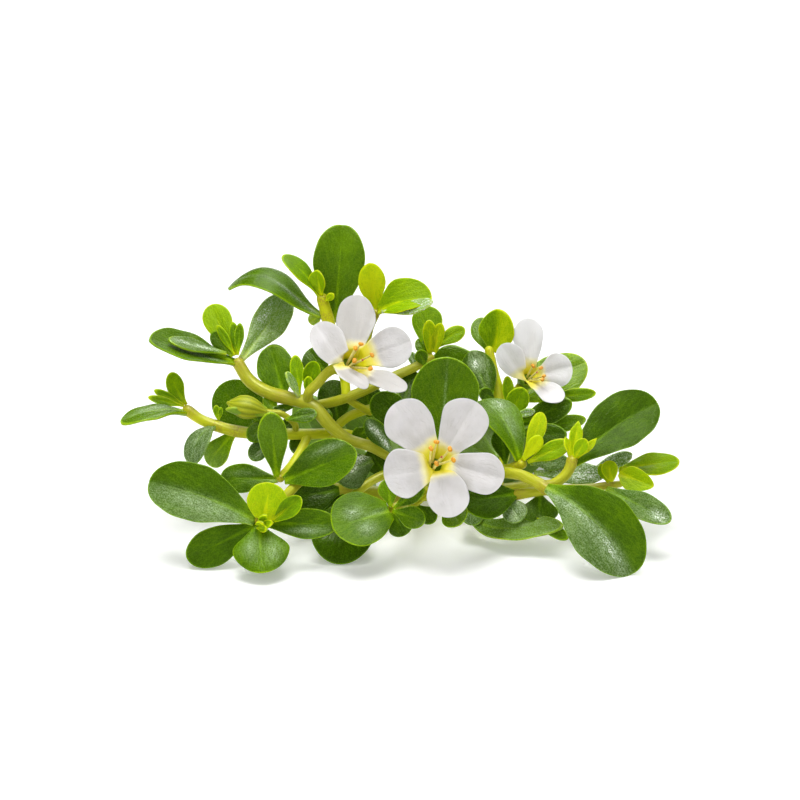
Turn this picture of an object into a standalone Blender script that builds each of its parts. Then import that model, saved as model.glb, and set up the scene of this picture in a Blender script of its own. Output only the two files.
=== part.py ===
"""Bacopa monnieri, a creeping herb of wet ground, as picked in flower and laid on a flat surface.

The plant is laid out as a viewer sees it. A place is three numbers in millimetres: across to the right,
up, and toward the viewer, who looks down at VIEW_TILT. in_frame() turns such a place into the model's
frame: metres, +Z up, with the origin at the middle of the base.
"""

import math

import bmesh
import bpy
from mathutils import Matrix, Vector

MILLIMETRE = 0.001

# The viewer's place, and where the middle of the view lies in the model's frame, in millimetres
VIEW_TILT = math.radians(25.0)
VIEW_DISTANCE = 400.0
MIDDLE_ACROSS = 0.12
MIDDLE_BACK = -2.75
MIDDLE_HEIGHT = 11.61

# Driving sizes, in millimetres
LEAF_THICKNESS = 0.5
PETAL_THICKNESS = 0.35
SEAT = 0.95

# How finely the solids are cut
LEAF_ROWS, LEAF_POINTS = 7, 8
PETAL_ROWS, PETAL_POINTS = 5, 6
STEM_POINTS = 7
STEM_STEPS = 2

# Each stem is a list of places along its middle, with the radius there
STEMS = {
    "stem_main": [
        (-16.2, 3.7, 0.5, 0.55),
        (-15.0, 1.9, 0.7, 0.65),
        (-13.0, 0.7, 1.1, 0.66),
        (-10.0, -0.1, 1.9, 0.68),
        (-8.6, -0.7, 2.3, 0.70),
        (-7.0, -2.5, 2.6, 0.66),
        (-5.2, -3.9, 2.8, 0.58),
        (-2.6, -4.8, 2.6, 0.56),
        (0.5, -6.6, 1.4, 0.55),
        (2.6, -7.9, -0.4, 0.55),
        (3.6, -8.7, -2.2, 0.55),
    ],
    "stem_left_lower": [
        (-21.3, -1.0, 1.5, 0.50),
        (-19.6, -2.1, 1.5, 0.52),
        (-16.5, -3.1, 1.5, 0.56),
        (-13.0, -3.4, 1.3, 0.58),
        (-9.0, -3.4, 0.9, 0.56),
        (-5.5, -3.4, 0.2, 0.52),
        (-2.0, -4.6, -1.2, 0.50),
        (0.2, -6.6, -2.4, 0.50),
        (1.2, -8.2, -3.3, 0.50),
    ],
    "stem_upper_centre": [
        (-8.1, -0.5, 0.9, 0.48),
        (-6.0, 0.0, 0.2, 0.50),
        (-3.7, 0.9, -0.5, 0.50),
        (-1.2, 2.1, -1.5, 0.48),
        (1.5, 3.3, -2.6, 0.46),
        (3.0, 4.2, -3.5, 0.45),
    ],
    "stem_top": [
        (-7.8, 10.2, 0.2, 0.50),
        (-7.2, 8.0, 0.0, 0.60),
        (-6.5, 5.4, -0.2, 0.54),
        (-5.9, 3.2, -0.5, 0.50),
        (-5.5, 1.9, -0.8, 0.48),
    ],
    "stem_front_left": [
        (-7.0, -4.3, 2.3, 0.46),
        (-8.8, -6.8, 4.0, 0.50),
        (-10.5, -8.6, 5.8, 0.50),
        (-12.0, -10.2, 7.4, 0.50),
        (-14.1, -12.1, 8.9, 0.48),
    ],
    "stem_front_centre": [
        (2.0, -8.8, -2.6, 0.46),
        (1.9, -8.9, 0.2, 0.46),
        (1.8, -9.4, 3.0, 0.48),
        (0.6, -10.2, 5.2, 0.46),
        (-1.0, -11.0, 7.2, 0.44),
    ],
    "stem_right": [
        (5.8, -8.6, -2.0, 0.55),
        (6.6, -7.6, 0.4, 0.58),
        (9.0, -7.2, 3.2, 0.58),
        (11.6, -7.4, 5.4, 0.56),
        (13.2, -8.0, 6.4, 0.58),
        (14.4, -8.7, 7.0, 0.60),
        (15.05, -9.2, 7.3, 0.46),
    ],
    "stem_far_right": [
        (7.3, -9.4, -2.6, 0.46),
        (7.4, -9.3, -0.4, 0.48),
        (8.2, -9.4, 2.0, 0.50),
        (10.4, -9.6, 4.0, 0.50),
        (13.4, -9.2, 5.2, 0.50),
        (16.4, -8.9, 4.8, 0.42),
        (19.4, -8.7, 4.2, 0.38),
        (22.0, -8.4, 3.4, 0.34),
    ],
    "stem_right_lime": [
        (7.9, -8.1, -3.2, 0.45),
        (7.7, -6.8, -0.6, 0.48),
        (9.2, -6.9, 1.9, 0.50),
        (10.8, -6.9, 3.4, 0.52),
        (12.2, -6.4, 4.7, 0.48),
    ],
    "stem_upper_right": [
        (8.9, 5.0, -5.2, 0.42),
        (9.4, 2.4, -5.2, 0.56),
        (10.1, -0.2, -5.0, 0.66),
        (10.7, -2.8, -4.6, 0.56),
        (10.5, -5.4, -4.4, 0.48),
        (9.9, -7.8, -4.2, 0.48),
    ],
    "stem_crown": [
        (-9.4, -8.8, -6.6, 0.66),
        (-5.0, -9.1, -5.7, 0.72),
        (0.0, -9.5, -4.7, 0.78),
        (4.5, -9.2, -3.4, 0.82),
        (9.0, -9.2, -4.6, 0.76),
        (13.4, -8.6, -7.1, 0.66),
    ],
}

# Side twigs, each grown into the stem that it is listed under
TWIGS = {
    "stem_upper_centre": [
        [
            (-2.4, 8.8, -0.6, 0.42),
            (-3.1, 7.0, -0.9, 0.42),
            (-3.4, 5.0, -1.1, 0.44),
            (-3.2, 3.2, -1.1, 0.44),
            (-2.6, 1.5, -0.9, 0.44),
        ],
    ],
    "stem_left_lower": [
        [
            (-12.0, -7.8, 5.0, 0.42),
            (-10.9, -6.6, 3.6, 0.44),
            (-9.9, -5.0, 2.3, 0.44),
            (-9.2, -3.5, 0.9, 0.44),
        ],
        [
            (-6.9, -3.3, 0.4, 0.44),
            (-5.0, -1.6, -0.9, 0.46),
            (-1.6, -0.6, -1.6, 0.46),
            (2.0, -0.2, -3.4, 0.45),
            (6.6, 0.4, -4.6, 0.42),
        ],
    ],
    "stem_right": [
        [
            (14.1, -8.55, 6.9, 0.44),
            (15.3, -8.4, 7.0, 0.50),
            (16.4, -7.65, 7.0, 0.53),
            (17.0, -6.75, 6.9, 0.54),
            (17.2, -6.05, 6.8, 0.52),
        ],
    ],
    "stem_front_centre": [
        [
            (-5.4, -10.4, 3.2, 0.42),
            (-3.6, -8.6, 3.0, 0.46),
            (-1.2, -7.4, 2.4, 0.46),
            (1.0, -7.9, 1.6, 0.46),
            (2.1, -8.7, 0.6, 0.46),
        ],
    ],
}

# Each leaf runs from its seat in the middle of a stem to its tip, both as places. width is its widest, in
# millimetres. turn, in degrees, rolls its upper face from the viewer toward the leaf's right-hand side.
# bow and sweep move its middle toward its face and to its right, as shares of its length, and late moves
# that bend toward the tip, or toward the seat below 0. cup raises the rim, belly is how far along the
# widest place lies, neck the width at the seat, and shoulder fills out the half next to the seat.
LEAVES = {
    "leaf_top_tall": dict(
        base=(-6.5, 7.6, -1.4), tip=(-5.75, 17.6, 0.4), width=5.2, bow=0.05, cup=0.16, belly=0.64,
        shoulder=0.35
    ),
    "leaf_top_arched": dict(
        base=(-7.7, 8.3, 0.0), tip=(-17.1, 11.1, -2.0), width=5.2, turn=64, bow=0.212, late=0.85,
        cup=-0.05, belly=0.57, shoulder=0.3
    ),
    "leaf_lime_upright": dict(
        base=(-2.5, 8.8, -0.6), tip=(-3.0, 13.7, 1.0), width=2.75, belly=0.6, shoulder=0.4
    ),
    "leaf_lime_right": dict(
        base=(-2.3, 8.7, -0.5), tip=(3.2, 10.2, 1.5), width=4.5, turn=-28, bow=0.14, cup=0.4, belly=0.52,
        shoulder=0.5
    ),
    "leaf_spoon": dict(
        base=(-16.4, 3.7, 0.6), tip=(-25.1, 6.0, 3.6), width=4.2, turn=50, bow=-0.01, cup=0.3, shoulder=0.3
    ),
    "leaf_left_oval": dict(
        base=(-16.0, 3.9, 0.3), tip=(-11.2, 10.4, -3.6), width=3.6, turn=8, bow=0.06, belly=0.6,
        shoulder=0.2
    ),
    "leaf_far_left": dict(
        base=(-21.2, -1.3, 1.6), tip=(-27.9, -2.4, 4.2), width=2.8, turn=58, bow=0.1, belly=0.55,
        shoulder=0.3
    ),
    "leaf_hanging_left": dict(
        base=(-18.4, -2.6, 1.5), tip=(-20.8, -6.5, 3.8), width=2.9, turn=42, bow=0.2, shoulder=0.3
    ),
    "leaf_hanging_right": dict(
        base=(-16.4, -3.0, 1.4), tip=(-19.1, -6.4, -0.4), width=2.6, turn=12, bow=0.1, neck=0.3,
        belly=0.66, shoulder=0.2
    ),
    "leaf_left_round": dict(
        base=(-13.2, -3.0, 0.8), tip=(-18.2, 1.2, -6.0), width=5.2, bow=-0.05, belly=0.58, shoulder=0.6
    ),
    "leaf_mid_left": dict(
        base=(-11.6, 0.3, 0.9), tip=(-13.0, 5.4, 0.1), width=3.8, belly=0.52, shoulder=0.6
    ),
    "leaf_front_vertical": dict(
        base=(-12.3, -7.9, 5.2), tip=(-13.0, -1.2, 7.2), width=3.0, bow=-0.04, belly=0.62, shoulder=0.3
    ),
    "leaf_left_middle": dict(
        base=(-12.0, -8.0, 5.1), tip=(-17.9, -7.8, 3.2), width=3.0, turn=6, bow=0.05, cup=0.2,
        shoulder=0.4
    ),
    "leaf_centre_oval": dict(
        base=(-11.7, -8.1, 5.8), tip=(-4.3, -5.2, 8.6), width=4.7, turn=-10, cup=0.42, belly=0.58,
        shoulder=0.4
    ),
    "leaf_rosette_big": dict(
        base=(-14.3, -12.2, 9.0), tip=(-25.1, -8.3, 6.6), width=6.0, turn=12, bow=0.05, sweep=0.035,
        cup=0.33, belly=0.58, shoulder=0.45
    ),
    "leaf_rosette_lower": dict(
        base=(-14.2, -12.4, 8.9), tip=(-21.3, -15.9, 8.3), width=3.95, turn=-8, belly=0.62, shoulder=0.35
    ),
    "leaf_rosette_round": dict(
        base=(-14.1, -12.5, 8.9), tip=(-13.8, -17.3, 11.6), width=5.7, bow=0.04, cup=-0.1, belly=0.5,
        shoulder=0.5
    ),
    "leaf_rosette_right": dict(
        base=(-14.0, -12.3, 8.9), tip=(-6.2, -12.4, 9.3), width=3.1, turn=-4, bow=-0.04, cup=0.3,
        belly=0.6, shoulder=0.4
    ),
    "leaf_bottom_dark": dict(
        base=(-5.3, -10.2, 3.2), tip=(-6.5, -16.4, 7.3), width=6.2, bow=0.12, belly=0.58, shoulder=0.7
    ),
    "leaf_front_round": dict(
        base=(-0.9, -11.1, 8.5), tip=(-6.7, -12.9, 10.6), width=6.2, turn=24, cup=0.16, belly=0.55,
        neck=0.35, shoulder=1.0
    ),
    "leaf_centre_tall": dict(
        base=(4.0, -5.8, 4.2), tip=(4.8, 4.3, 6.0), width=6.8, bow=-0.04, belly=0.64, shoulder=0.4
    ),
    "leaf_upper_right": dict(
        base=(9.2, 4.7, -5.9), tip=(9.6, 9.1, -4.8), width=3.7, turn=-12, sweep=0.08, cup=0.32, belly=0.5,
        shoulder=0.8
    ),
    "leaf_behind_flower": dict(
        base=(10.4, -0.1, -5.6), tip=(18.6, 3.8, -9.6), width=4.6, turn=-10, bow=-0.06, belly=0.62,
        shoulder=0.3
    ),
    "leaf_right_curved": dict(
        base=(11.9, -6.3, 4.6), tip=(8.0, -0.2, 1.4), width=4.1, turn=34, bow=0.2, cup=0.22, belly=0.55,
        shoulder=0.4
    ),
    "leaf_right_big_upper": dict(
        base=(17.1, -6.5, 6.0), tip=(25.7, -0.3, 2.4), width=5.6, turn=-8, bow=0.05, sweep=-0.04,
        cup=0.22, belly=0.6, shoulder=0.5
    ),
    "leaf_far_right": dict(
        base=(21.8, -7.0, 3.2), tip=(27.9, -6.1, 0.2), width=2.6, turn=-28, belly=0.55, shoulder=0.4
    ),
    "leaf_right_lower": dict(
        base=(20.6, -8.8, 4.0), tip=(27.1, -12.1, 7.2), width=2.9, turn=-20, bow=0.08, sweep=0.04,
        cup=0.26, belly=0.62, shoulder=0.3
    ),
    "leaf_right_big_lower": dict(
        base=(14.6, -8.85, 7.2), tip=(23.2, -17.4, 9.1), width=6.95, bow=0.12, sweep=-0.09, cup=0.31,
        belly=0.58, neck=0.15, shoulder=0.4
    ),
    "leaf_under_flower": dict(
        base=(11.7, -9.4, 4.8), tip=(6.1, -10.3, 8.0), width=4.4, turn=20, belly=0.56, shoulder=0.7
    ),
    "leaf_long_bottom": dict(
        base=(6.6, -10.2, 1.4), tip=(16.3, -12.7, 6.6), width=2.9, turn=-30, late=-0.8, sweep=0.17,
        shoulder=0.5
    ),
    "leaf_back_left": dict(
        base=(-5.0, -9.1, -5.7), tip=(-10.0, 0.5, -12.4), width=5.0, turn=180, bow=0.1, start=1.3
    ),
    "leaf_back_centre": dict(
        base=(0.0, -9.5, -4.7), tip=(0.5, 1.0, -12.9), width=5.2, turn=180, bow=0.1, start=1.3
    ),
    "leaf_back_right": dict(
        base=(9.2, -9.0, -4.9), tip=(15.0, -1.5, -12.0), width=4.8, turn=180, bow=0.1, start=1.5
    ),
}

# The crowded small leaves at the end of each shoot. One solid wraps each group and reaches their tips.
SHOOT_TIPS = {
    "tip_top": [
        dict(base=(-7.9, 10.1, 0.2), tip=(-11.8, 14.4, 1.2), width=2.2, turn=40, bow=0.1),
        dict(base=(-7.8, 10.3, 0.5), tip=(-8.3, 13.0, 1.6), width=1.9, turn=-30, cup=0.5),
        dict(base=(-7.6, 9.8, 0.6), tip=(-6.6, 10.6, 1.2), width=0.8),
    ],
    "tip_left_upper": [
        dict(base=(-16.4, 4.3, 0.4), tip=(-19.0, 9.5, -0.4), width=2.9, belly=0.72),
        dict(base=(-16.6, 4.2, 0.8), tip=(-18.8, 6.8, 0.9), width=1.7),
        dict(base=(-16.4, 4.3, 0.9), tip=(-18.3, 7.5, 1.1), width=0.9),
        dict(base=(-16.3, 4.3, 0.5), tip=(-16.7, 7.8, 0.4), width=1.0),
        dict(base=(-16.2, 4.3, 0.6), tip=(-16.0, 7.7, 0.7), width=1.0),
    ],
    "tip_far_left": [
        dict(base=(-21.4, -0.6, 1.2), tip=(-24.6, 1.0, 1.4), width=0.9),
        dict(base=(-21.4, -0.7, 1.3), tip=(-25.2, 0.3, 1.6), width=0.9),
        dict(base=(-21.2, -0.6, 1.1), tip=(-22.8, 2.8, 0.8), width=1.8, sweep=-0.08),
    ],
    "tip_rosette": [
        dict(
            base=(-13.6, -12.1, 9.6), tip=(-13.0, -8.25, 9.9), width=4.15, cup=0.1, belly=0.5, neck=0.45,
            shoulder=1.0
        ),
        dict(base=(-12.8, -12.2, 9.5), tip=(-9.9, -9.7, 10.2), width=2.0, cup=0.7, shoulder=0.7),
        dict(base=(-14.3, -12.5, 9.5), tip=(-13.4, -11.5, 10.7), width=0.9, turn=20),
        dict(base=(-14.2, -12.9, 9.6), tip=(-12.7, -12.2, 10.7), width=0.9, turn=-20, cup=0.4),
        dict(base=(-14.4, -12.8, 9.7), tip=(-13.3, -12.9, 10.9), width=0.8),
        dict(base=(-14.5, -12.4, 9.7), tip=(-13.7, -12.3, 11.1), width=0.8, turn=50),
    ],
    "tip_front_centre": [
        dict(base=(-0.9, -10.9, 8.2), tip=(-1.3, -7.9, 8.2), width=2.1),
        dict(base=(-0.9, -11.0, 8.4), tip=(2.5, -12.2, 9.2), width=2.3),
        dict(base=(-0.9, -11.1, 8.1), tip=(0.6, -13.5, 8.0), width=2.6),
        dict(base=(-0.8, -10.9, 8.2), tip=(2.4, -8.7, 8.4), width=1.6),
    ],
    "tip_upper_centre": [
        dict(base=(3.1, 4.6, -3.4), tip=(2.9, 8.0, -2.7), width=1.4, neck=0.5, shoulder=0.9),
        dict(base=(3.3, 4.6, -3.4), tip=(4.1, 7.7, -2.7), width=1.3, neck=0.5, shoulder=0.9),
        dict(base=(3.4, 5.0, -3.8), tip=(6.5, 7.1, -4.2), width=1.65, sweep=-0.06, belly=0.64),
        dict(base=(2.9, 4.2, -3.9), tip=(2.6, 9.4, -4.6), width=3.1, belly=0.7),
    ],
    "tip_right_lime": [
        dict(base=(12.1, -6.2, 5.0), tip=(14.1, -1.2, 4.6), width=1.8, sweep=0.05, belly=0.68),
        dict(base=(12.3, -6.2, 5.2), tip=(14.1, -3.6, 5.8), width=1.5, belly=0.66),
        dict(base=(12.6, -6.3, 5.1), tip=(17.0, -4.2, 5.4), width=1.9),
    ],
    "tip_right": [
        dict(base=(17.2, -6.0, 6.8), tip=(17.85, -2.1, 6.4), width=1.4, cup=0.5),
        dict(base=(17.3, -6.0, 7.0), tip=(18.6, -3.9, 7.4), width=1.5, cup=0.3, shoulder=0.4),
        dict(base=(17.1, -6.0, 6.9), tip=(16.5, -3.7, 6.6), width=1.1, turn=40, cup=0.42),
        dict(base=(17.6, -6.0, 6.9), tip=(19.7, -3.8, 6.8), width=0.8, cup=0.42),
    ],
    "tip_far_right": [
        dict(base=(21.2, -8.4, 4.1), tip=(20.8, -6.05, 4.1), width=1.7, cup=0.5, shoulder=0.8),
        dict(base=(20.9, -8.5, 4.0), tip=(20.1, -6.4, 3.6), width=1.1, turn=-30, cup=0.4),
        dict(base=(21.7, -7.3, 4.1), tip=(25.4, -8.6, 4.6), width=2.5, cup=0.3, belly=0.36, shoulder=1.0),
    ],
}

# Each flower: its throat, the size of its middle, the way that it faces, its stalk with the radius, and
# its lobes
FLOWERS = {
    "front_flower": dict(
        throat=(3.85, -6.2, 10.2),
        size=1.0,
        faces=(0.08, 0.28, 0.95),
        stalk=[
            (3.8, -7.7, 0.2, 0.48),
            (3.9, -6.6, 3.0, 0.50),
            (3.9, -6.3, 5.2, 0.45),
            (3.75, -6.6, 7.4, 0.45),
            (3.7, -6.75, 8.8, 0.50),
        ],
        lobes=[
            dict(base=(3.2, -5.3, 10.1), tip=(-0.6, -0.4, 10.0), width=4.9, shoulder=0.45),
            dict(base=(4.6, -5.2, 10.1), tip=(7.65, -0.2, 10.0), width=4.9, shoulder=0.4),
            dict(base=(3.0, -6.8, 10.9), tip=(-1.6, -7.6, 11.3), width=5.0, belly=0.55, shoulder=0.8),
            dict(base=(4.1, -7.1, 11.0), tip=(5.3, -11.7, 12.1), width=4.25, belly=0.52, shoulder=0.8),
            dict(base=(5.0, -6.4, 10.2), tip=(10.4, -7.9, 11.2), width=4.2, shoulder=0.7),
        ],
    ),
    "left_flower": dict(
        throat=(-4.9, 3.7, 4.6),
        size=0.9,
        faces=(0.38, 0.50, 0.78),
        stalk=[
            (-9.1, 0.8, 3.0, 0.50),
            (-8.2, 1.7, 3.0, 0.50),
            (-7.4, 2.6, 2.9, 0.50),
            (-6.6, 3.1, 2.8, 0.55),
            (-5.7, 3.0, 3.1, 0.60),
        ],
        lobes=[
            dict(base=(-4.6, 4.7, 4.3), tip=(-4.25, 10.5, 2.8), width=3.95, belly=0.54, shoulder=0.5),
            dict(base=(-5.9, 3.9, 5.1), tip=(-8.4, 7.6, 4.1), width=3.4, belly=0.5, shoulder=0.9),
            dict(
                base=(-6.2, 3.5, 4.9), tip=(-3.3, 1.15, 7.2), width=3.0, turn=-58, bow=0.03, sweep=0.08,
                belly=0.55, shoulder=0.8
            ),
            dict(base=(-4.4, 3.0, 4.7), tip=(0.6, 0.95, 7.0), width=2.7, turn=-46, belly=0.6, shoulder=0.4),
            dict(base=(-4.0, 4.1, 4.5), tip=(1.1, 5.9, 4.2), width=4.1, shoulder=0.4),
        ],
    ),
    "right_flower": dict(
        throat=(13.1, 2.5, -4.4),
        size=0.75,
        faces=(0.50, 0.45, 0.74),
        stalk=[
            (11.5, -0.6, -5.0, 0.42),
            (11.6, 0.3, -5.3, 0.42),
            (11.9, 1.1, -5.6, 0.45),
            (12.3, 1.75, -5.5, 0.50),
        ],
        lobes=[
            dict(base=(12.95, 3.4, -4.7), tip=(12.75, 8.2, -4.4), width=3.05, shoulder=0.7),
            dict(base=(12.1, 2.5, -3.9), tip=(10.1, 5.5, -3.0), width=2.9, turn=10, belly=0.5, shoulder=0.9),
            dict(base=(13.9, 2.6, -4.6), tip=(17.2, 3.4, -5.0), width=3.4, belly=0.5, shoulder=0.6),
            dict(base=(13.2, 1.7, -3.8), tip=(16.2, -0.1, -2.8), width=3.0, turn=-48, shoulder=0.4),
        ],
    ),
}

# Along the way that a flower faces: how far from its throat, and the radius there. The first set is the
# calyx on the end of the stalk, the second the corolla's tube with the bunch of stamens in it.
CALYX = [(-2.0, 0.62), (-1.5, 1.0), (-0.9, 1.15)]
HEART = [(-0.55, 0.75), (-0.1, 1.1), (0.45, 1.3), (0.7, 1.0), (2.2, 0.9), (2.9, 0.45)]

# The closed bud: places along its middle with the radius, and its stalk
BUD = [
    (-17.2, -0.3, 2.4, 0.25),
    (-16.6, -0.5, 2.4, 0.8),
    (-15.5, -0.7, 2.4, 1.12),
    (-14.4, -0.95, 2.4, 0.85),
    (-13.4, -1.2, 2.4, 0.4),
    (-11.8, -1.4, 2.4, 0.34),
    (-10.6, -2.3, 1.8, 0.34),
]

# Colour, roughness
LEAF_GREEN = ((0.10, 0.22, 0.02, 1.0), 0.4)
TIP_GREEN = ((0.32, 0.47, 0.02, 1.0), 0.45)
STEM_GREEN = ((0.42, 0.45, 0.07, 1.0), 0.45)
PETAL_WHITE = ((0.85, 0.83, 0.82, 1.0), 0.6)


def in_frame(place):
    """The point of the model's frame, in metres, at a place that the viewer sees."""
    across, up, toward = place
    nearness = 1.0 - toward / VIEW_DISTANCE
    across, up = across * nearness, up * nearness
    back = up * math.sin(VIEW_TILT) - toward * math.cos(VIEW_TILT)
    height = up * math.cos(VIEW_TILT) + toward * math.sin(VIEW_TILT)
    return Vector((across - MIDDLE_ACROSS, back - MIDDLE_BACK, height + MIDDLE_HEIGHT)) * MILLIMETRE


def smooth_run(points, steps):
    """Points on a Catmull-Rom curve through the given ones, with their radii."""
    points = [Vector(p) for p in points]
    padded = [2 * points[0] - points[1], *points, 2 * points[-1] - points[-2]]
    run = []
    for i in range(len(points) - 1):
        before, start, end, after = padded[i : i + 4]
        for step in range(steps):
            t = step / steps
            run.append(
                0.5
                * (
                    2 * start
                    + (end - before) * t
                    + (2 * before - 5 * start + 4 * end - after) * t**2
                    + (3 * start - before - 3 * end + after) * t**3
                )
            )
    run.append(points[-1])
    return run


def tube_rings(points, steps=STEM_STEPS, sides=STEM_POINTS):
    """Rings round a smooth run of places with radii, each turned as little as possible from the last."""
    run = smooth_run(points, steps)
    middles = [p.to_3d() for p in run]
    radii = [p[3] for p in run]
    side = None
    rings = []
    for i, middle in enumerate(middles):
        ahead = middles[min(i + 1, len(run) - 1)] - middles[max(i - 1, 0)]
        ahead.normalize()
        if side is None:
            side = ahead.orthogonal()
        side = (side - side.dot(ahead) * ahead).normalized()
        other = ahead.cross(side)
        rings.append(
            [
                middle + radii[i] * (math.cos(a) * side + math.sin(a) * other)
                for a in (2 * math.pi * k / sides for k in range(sides))
            ]
        )
    return rings


def turned_rings(centre, axis, profile, size, sides=STEM_POINTS):
    """Rings of a shape turned about an axis, from a profile of distances along it and radii."""
    axis = Vector(axis).normalized()
    side = axis.orthogonal().normalized()
    other = axis.cross(side)
    return [
        [
            Vector(centre) + size * (along * axis + radius * (math.cos(a) * side + math.sin(a) * other))
            for a in (2 * math.pi * k / sides for k in range(sides))
        ]
        for along, radius in profile
    ]


def outline(share, belly, neck, shoulder):
    """How far along a blade a row lies, and its half width there: a rise to the belly, then a round tip."""
    if share <= 0.5:
        t = share / 0.5
        spatulate = t * t * (3 - 2 * t)
        full = math.sin(t * math.pi / 2)
        rise = spatulate + shoulder * (full - spatulate)
        return belly * t, neck + (1 - neck) * rise
    angle = (share - 0.5) * math.pi
    return belly + (1 - belly) * math.sin(angle), math.cos(angle)


def blade_rings(
    base,
    tip,
    width,
    turn=0.0,
    bow=0.0,
    late=0.0,
    sweep=0.0,
    cup=0.1,
    belly=0.6,
    neck=0.2,
    shoulder=0.0,
    start=SEAT,
    rows=LEAF_ROWS,
    points=LEAF_POINTS,
    thickness=LEAF_THICKNESS,
):
    """Rings round a leaf or petal, flat ones, from its seat to the single point at its tip."""
    base, tip = Vector(base), Vector(tip)
    chord = tip - base
    length = chord.length
    forward = chord.normalized()
    viewer = Vector((0, 0, 1))
    face = (viewer - viewer.dot(forward) * forward).normalized()
    face = Matrix.Rotation(math.radians(turn), 3, forward) @ face
    side = forward.cross(face)
    pull = 4 * length * (bow * face + sweep * side)
    first = start / length
    rings = []
    for row in range(rows + 1):
        along, half = outline(row / rows, belly, neck, shoulder)
        along = first + (1 - first) * along
        skewed = 1 + late * (2 * along - 1)
        middle = base + along * chord + along * (1 - along) * skewed * pull
        ahead = (chord + ((1 - 2 * along) * skewed + 2 * late * along * (1 - along)) * pull).normalized()
        across = (side - side.dot(ahead) * ahead).normalized()
        up = across.cross(ahead)
        reach = half * width / 2
        if row == rows:
            rings.append([middle])
            break
        rings.append(
            [
                middle
                + reach * math.cos(a) * across
                + (cup * reach * math.cos(a) ** 2 + thickness / 2 * math.sin(a)) * up
                for a in (2 * math.pi * k / points for k in range(points))
            ]
        )
    return rings


def skin(rings):
    """One closed mesh over rings of places, with flat ends. A ring of one place is a point."""
    mesh = bmesh.new()
    loops = [[mesh.verts.new(in_frame(place)) for place in ring] for ring in rings]
    for near, far in zip(loops, loops[1:]):
        for k in range(len(near)):
            after = (k + 1) % len(near)
            if len(far) == 1:
                mesh.faces.new((near[k], near[after], far[0]))
            else:
                mesh.faces.new((near[k], near[after], far[after], far[k]))
    for loop in (loops[0], loops[-1]):
        if len(loop) > 2:
            mesh.faces.new(loop)
    bmesh.ops.recalc_face_normals(mesh, faces=mesh.faces)
    return mesh


def material(name, look):
    colour, roughness = look
    made = bpy.data.materials.new(name)
    made.use_nodes = True
    shader = made.node_tree.nodes["Principled BSDF"]
    shader.inputs["Base Color"].default_value = colour
    shader.inputs["Roughness"].default_value = roughness
    shader.inputs["Metallic"].default_value = 0.0
    return made


def add(name, mesh, look):
    """A named object from a bmesh, shaded smooth, with a material of its own."""
    bmesh.ops.triangulate(mesh, faces=mesh.faces)
    data = bpy.data.meshes.new(name)
    mesh.to_mesh(data)
    mesh.free()
    data.shade_smooth()
    data.materials.append(material(name, look))
    made = bpy.data.objects.new(name, data)
    bpy.context.collection.objects.link(made)
    return made


def grow_together(main, others):
    """Joins the others into the main object with Boolean unions and removes them."""
    if not others:
        return
    for other in others:
        union = main.modifiers.new(other.name, "BOOLEAN")
        union.operation = "UNION"
        union.solver = "EXACT"
        union.object = other
    bpy.context.view_layer.update()
    whole = main.evaluated_get(bpy.context.evaluated_depsgraph_get())
    joined = bpy.data.meshes.new_from_object(whole)
    main.modifiers.clear()
    main.data = joined
    for other in others:
        bpy.data.objects.remove(other)


def stem(name):
    made = add(name, skin(tube_rings(STEMS[name])), STEM_GREEN)
    twigs = [add(name + "_twig", skin(tube_rings(twig)), STEM_GREEN) for twig in TWIGS.get(name, [])]
    grow_together(made, twigs)


def leaf(name):
    add(name, skin(blade_rings(**LEAVES[name])), LEAF_GREEN)


def shoot_tip(name):
    """The smallest solid with no hollows round a tip's leaves."""
    mesh = bmesh.new()
    for small_leaf in SHOOT_TIPS[name]:
        for ring in blade_rings(**small_leaf):
            for place in ring:
                mesh.verts.new(in_frame(place))
    hull = bmesh.ops.convex_hull(mesh, input=mesh.verts)
    inner = {item for item in hull["geom_interior"] + hull["geom_unused"] if item.is_valid}
    bmesh.ops.delete(mesh, geom=[v for v in inner if isinstance(v, bmesh.types.BMVert)], context="VERTS")
    bmesh.ops.recalc_face_normals(mesh, faces=mesh.faces)
    add(name, mesh, TIP_GREEN)


def flower(name):
    """The stalk with its calyx, and the corolla with its lobes, tube and stamens."""
    parts = FLOWERS[name]
    calyx = turned_rings(parts["throat"], parts["faces"], CALYX, parts["size"])
    stalk = add(name + "_stalk", skin(tube_rings(parts["stalk"])), STEM_GREEN)
    grow_together(stalk, [add(name + "_calyx", skin(calyx), STEM_GREEN)])
    heart = turned_rings(parts["throat"], parts["faces"], HEART, parts["size"])
    corolla = add(name + "_corolla", skin(heart), PETAL_WHITE)
    lobes = []
    for number, lobe in enumerate(parts["lobes"], 1):
        rings = blade_rings(
            **lobe, start=-0.7, neck=0.45, rows=PETAL_ROWS, points=PETAL_POINTS, thickness=PETAL_THICKNESS
        )
        lobes.append(add(f"{name}_lobe_{number}", skin(rings), PETAL_WHITE))
    grow_together(corolla, lobes)


def main():
    for old in list(bpy.data.objects):
        bpy.data.objects.remove(old)
    for name in STEMS:
        stem(name)
    for name in LEAVES:
        leaf(name)
    for name in SHOOT_TIPS:
        shoot_tip(name)
    for name in FLOWERS:
        flower(name)
    add("flower_bud", skin(tube_rings(BUD, steps=1)), TIP_GREEN)


main()
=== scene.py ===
"""The looks of a picked Bacopa monnieri in flower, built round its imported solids.

Every place is three numbers in millimetres, as a viewer sees the plant: across to the right, up, and toward
the viewer, who looks down at VIEW_TILT. in_frame() turns such places into the frame's metres. The shapes
come from the same numbers as the solids, cut finer, and each shown piece stands for its solid.
"""

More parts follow.
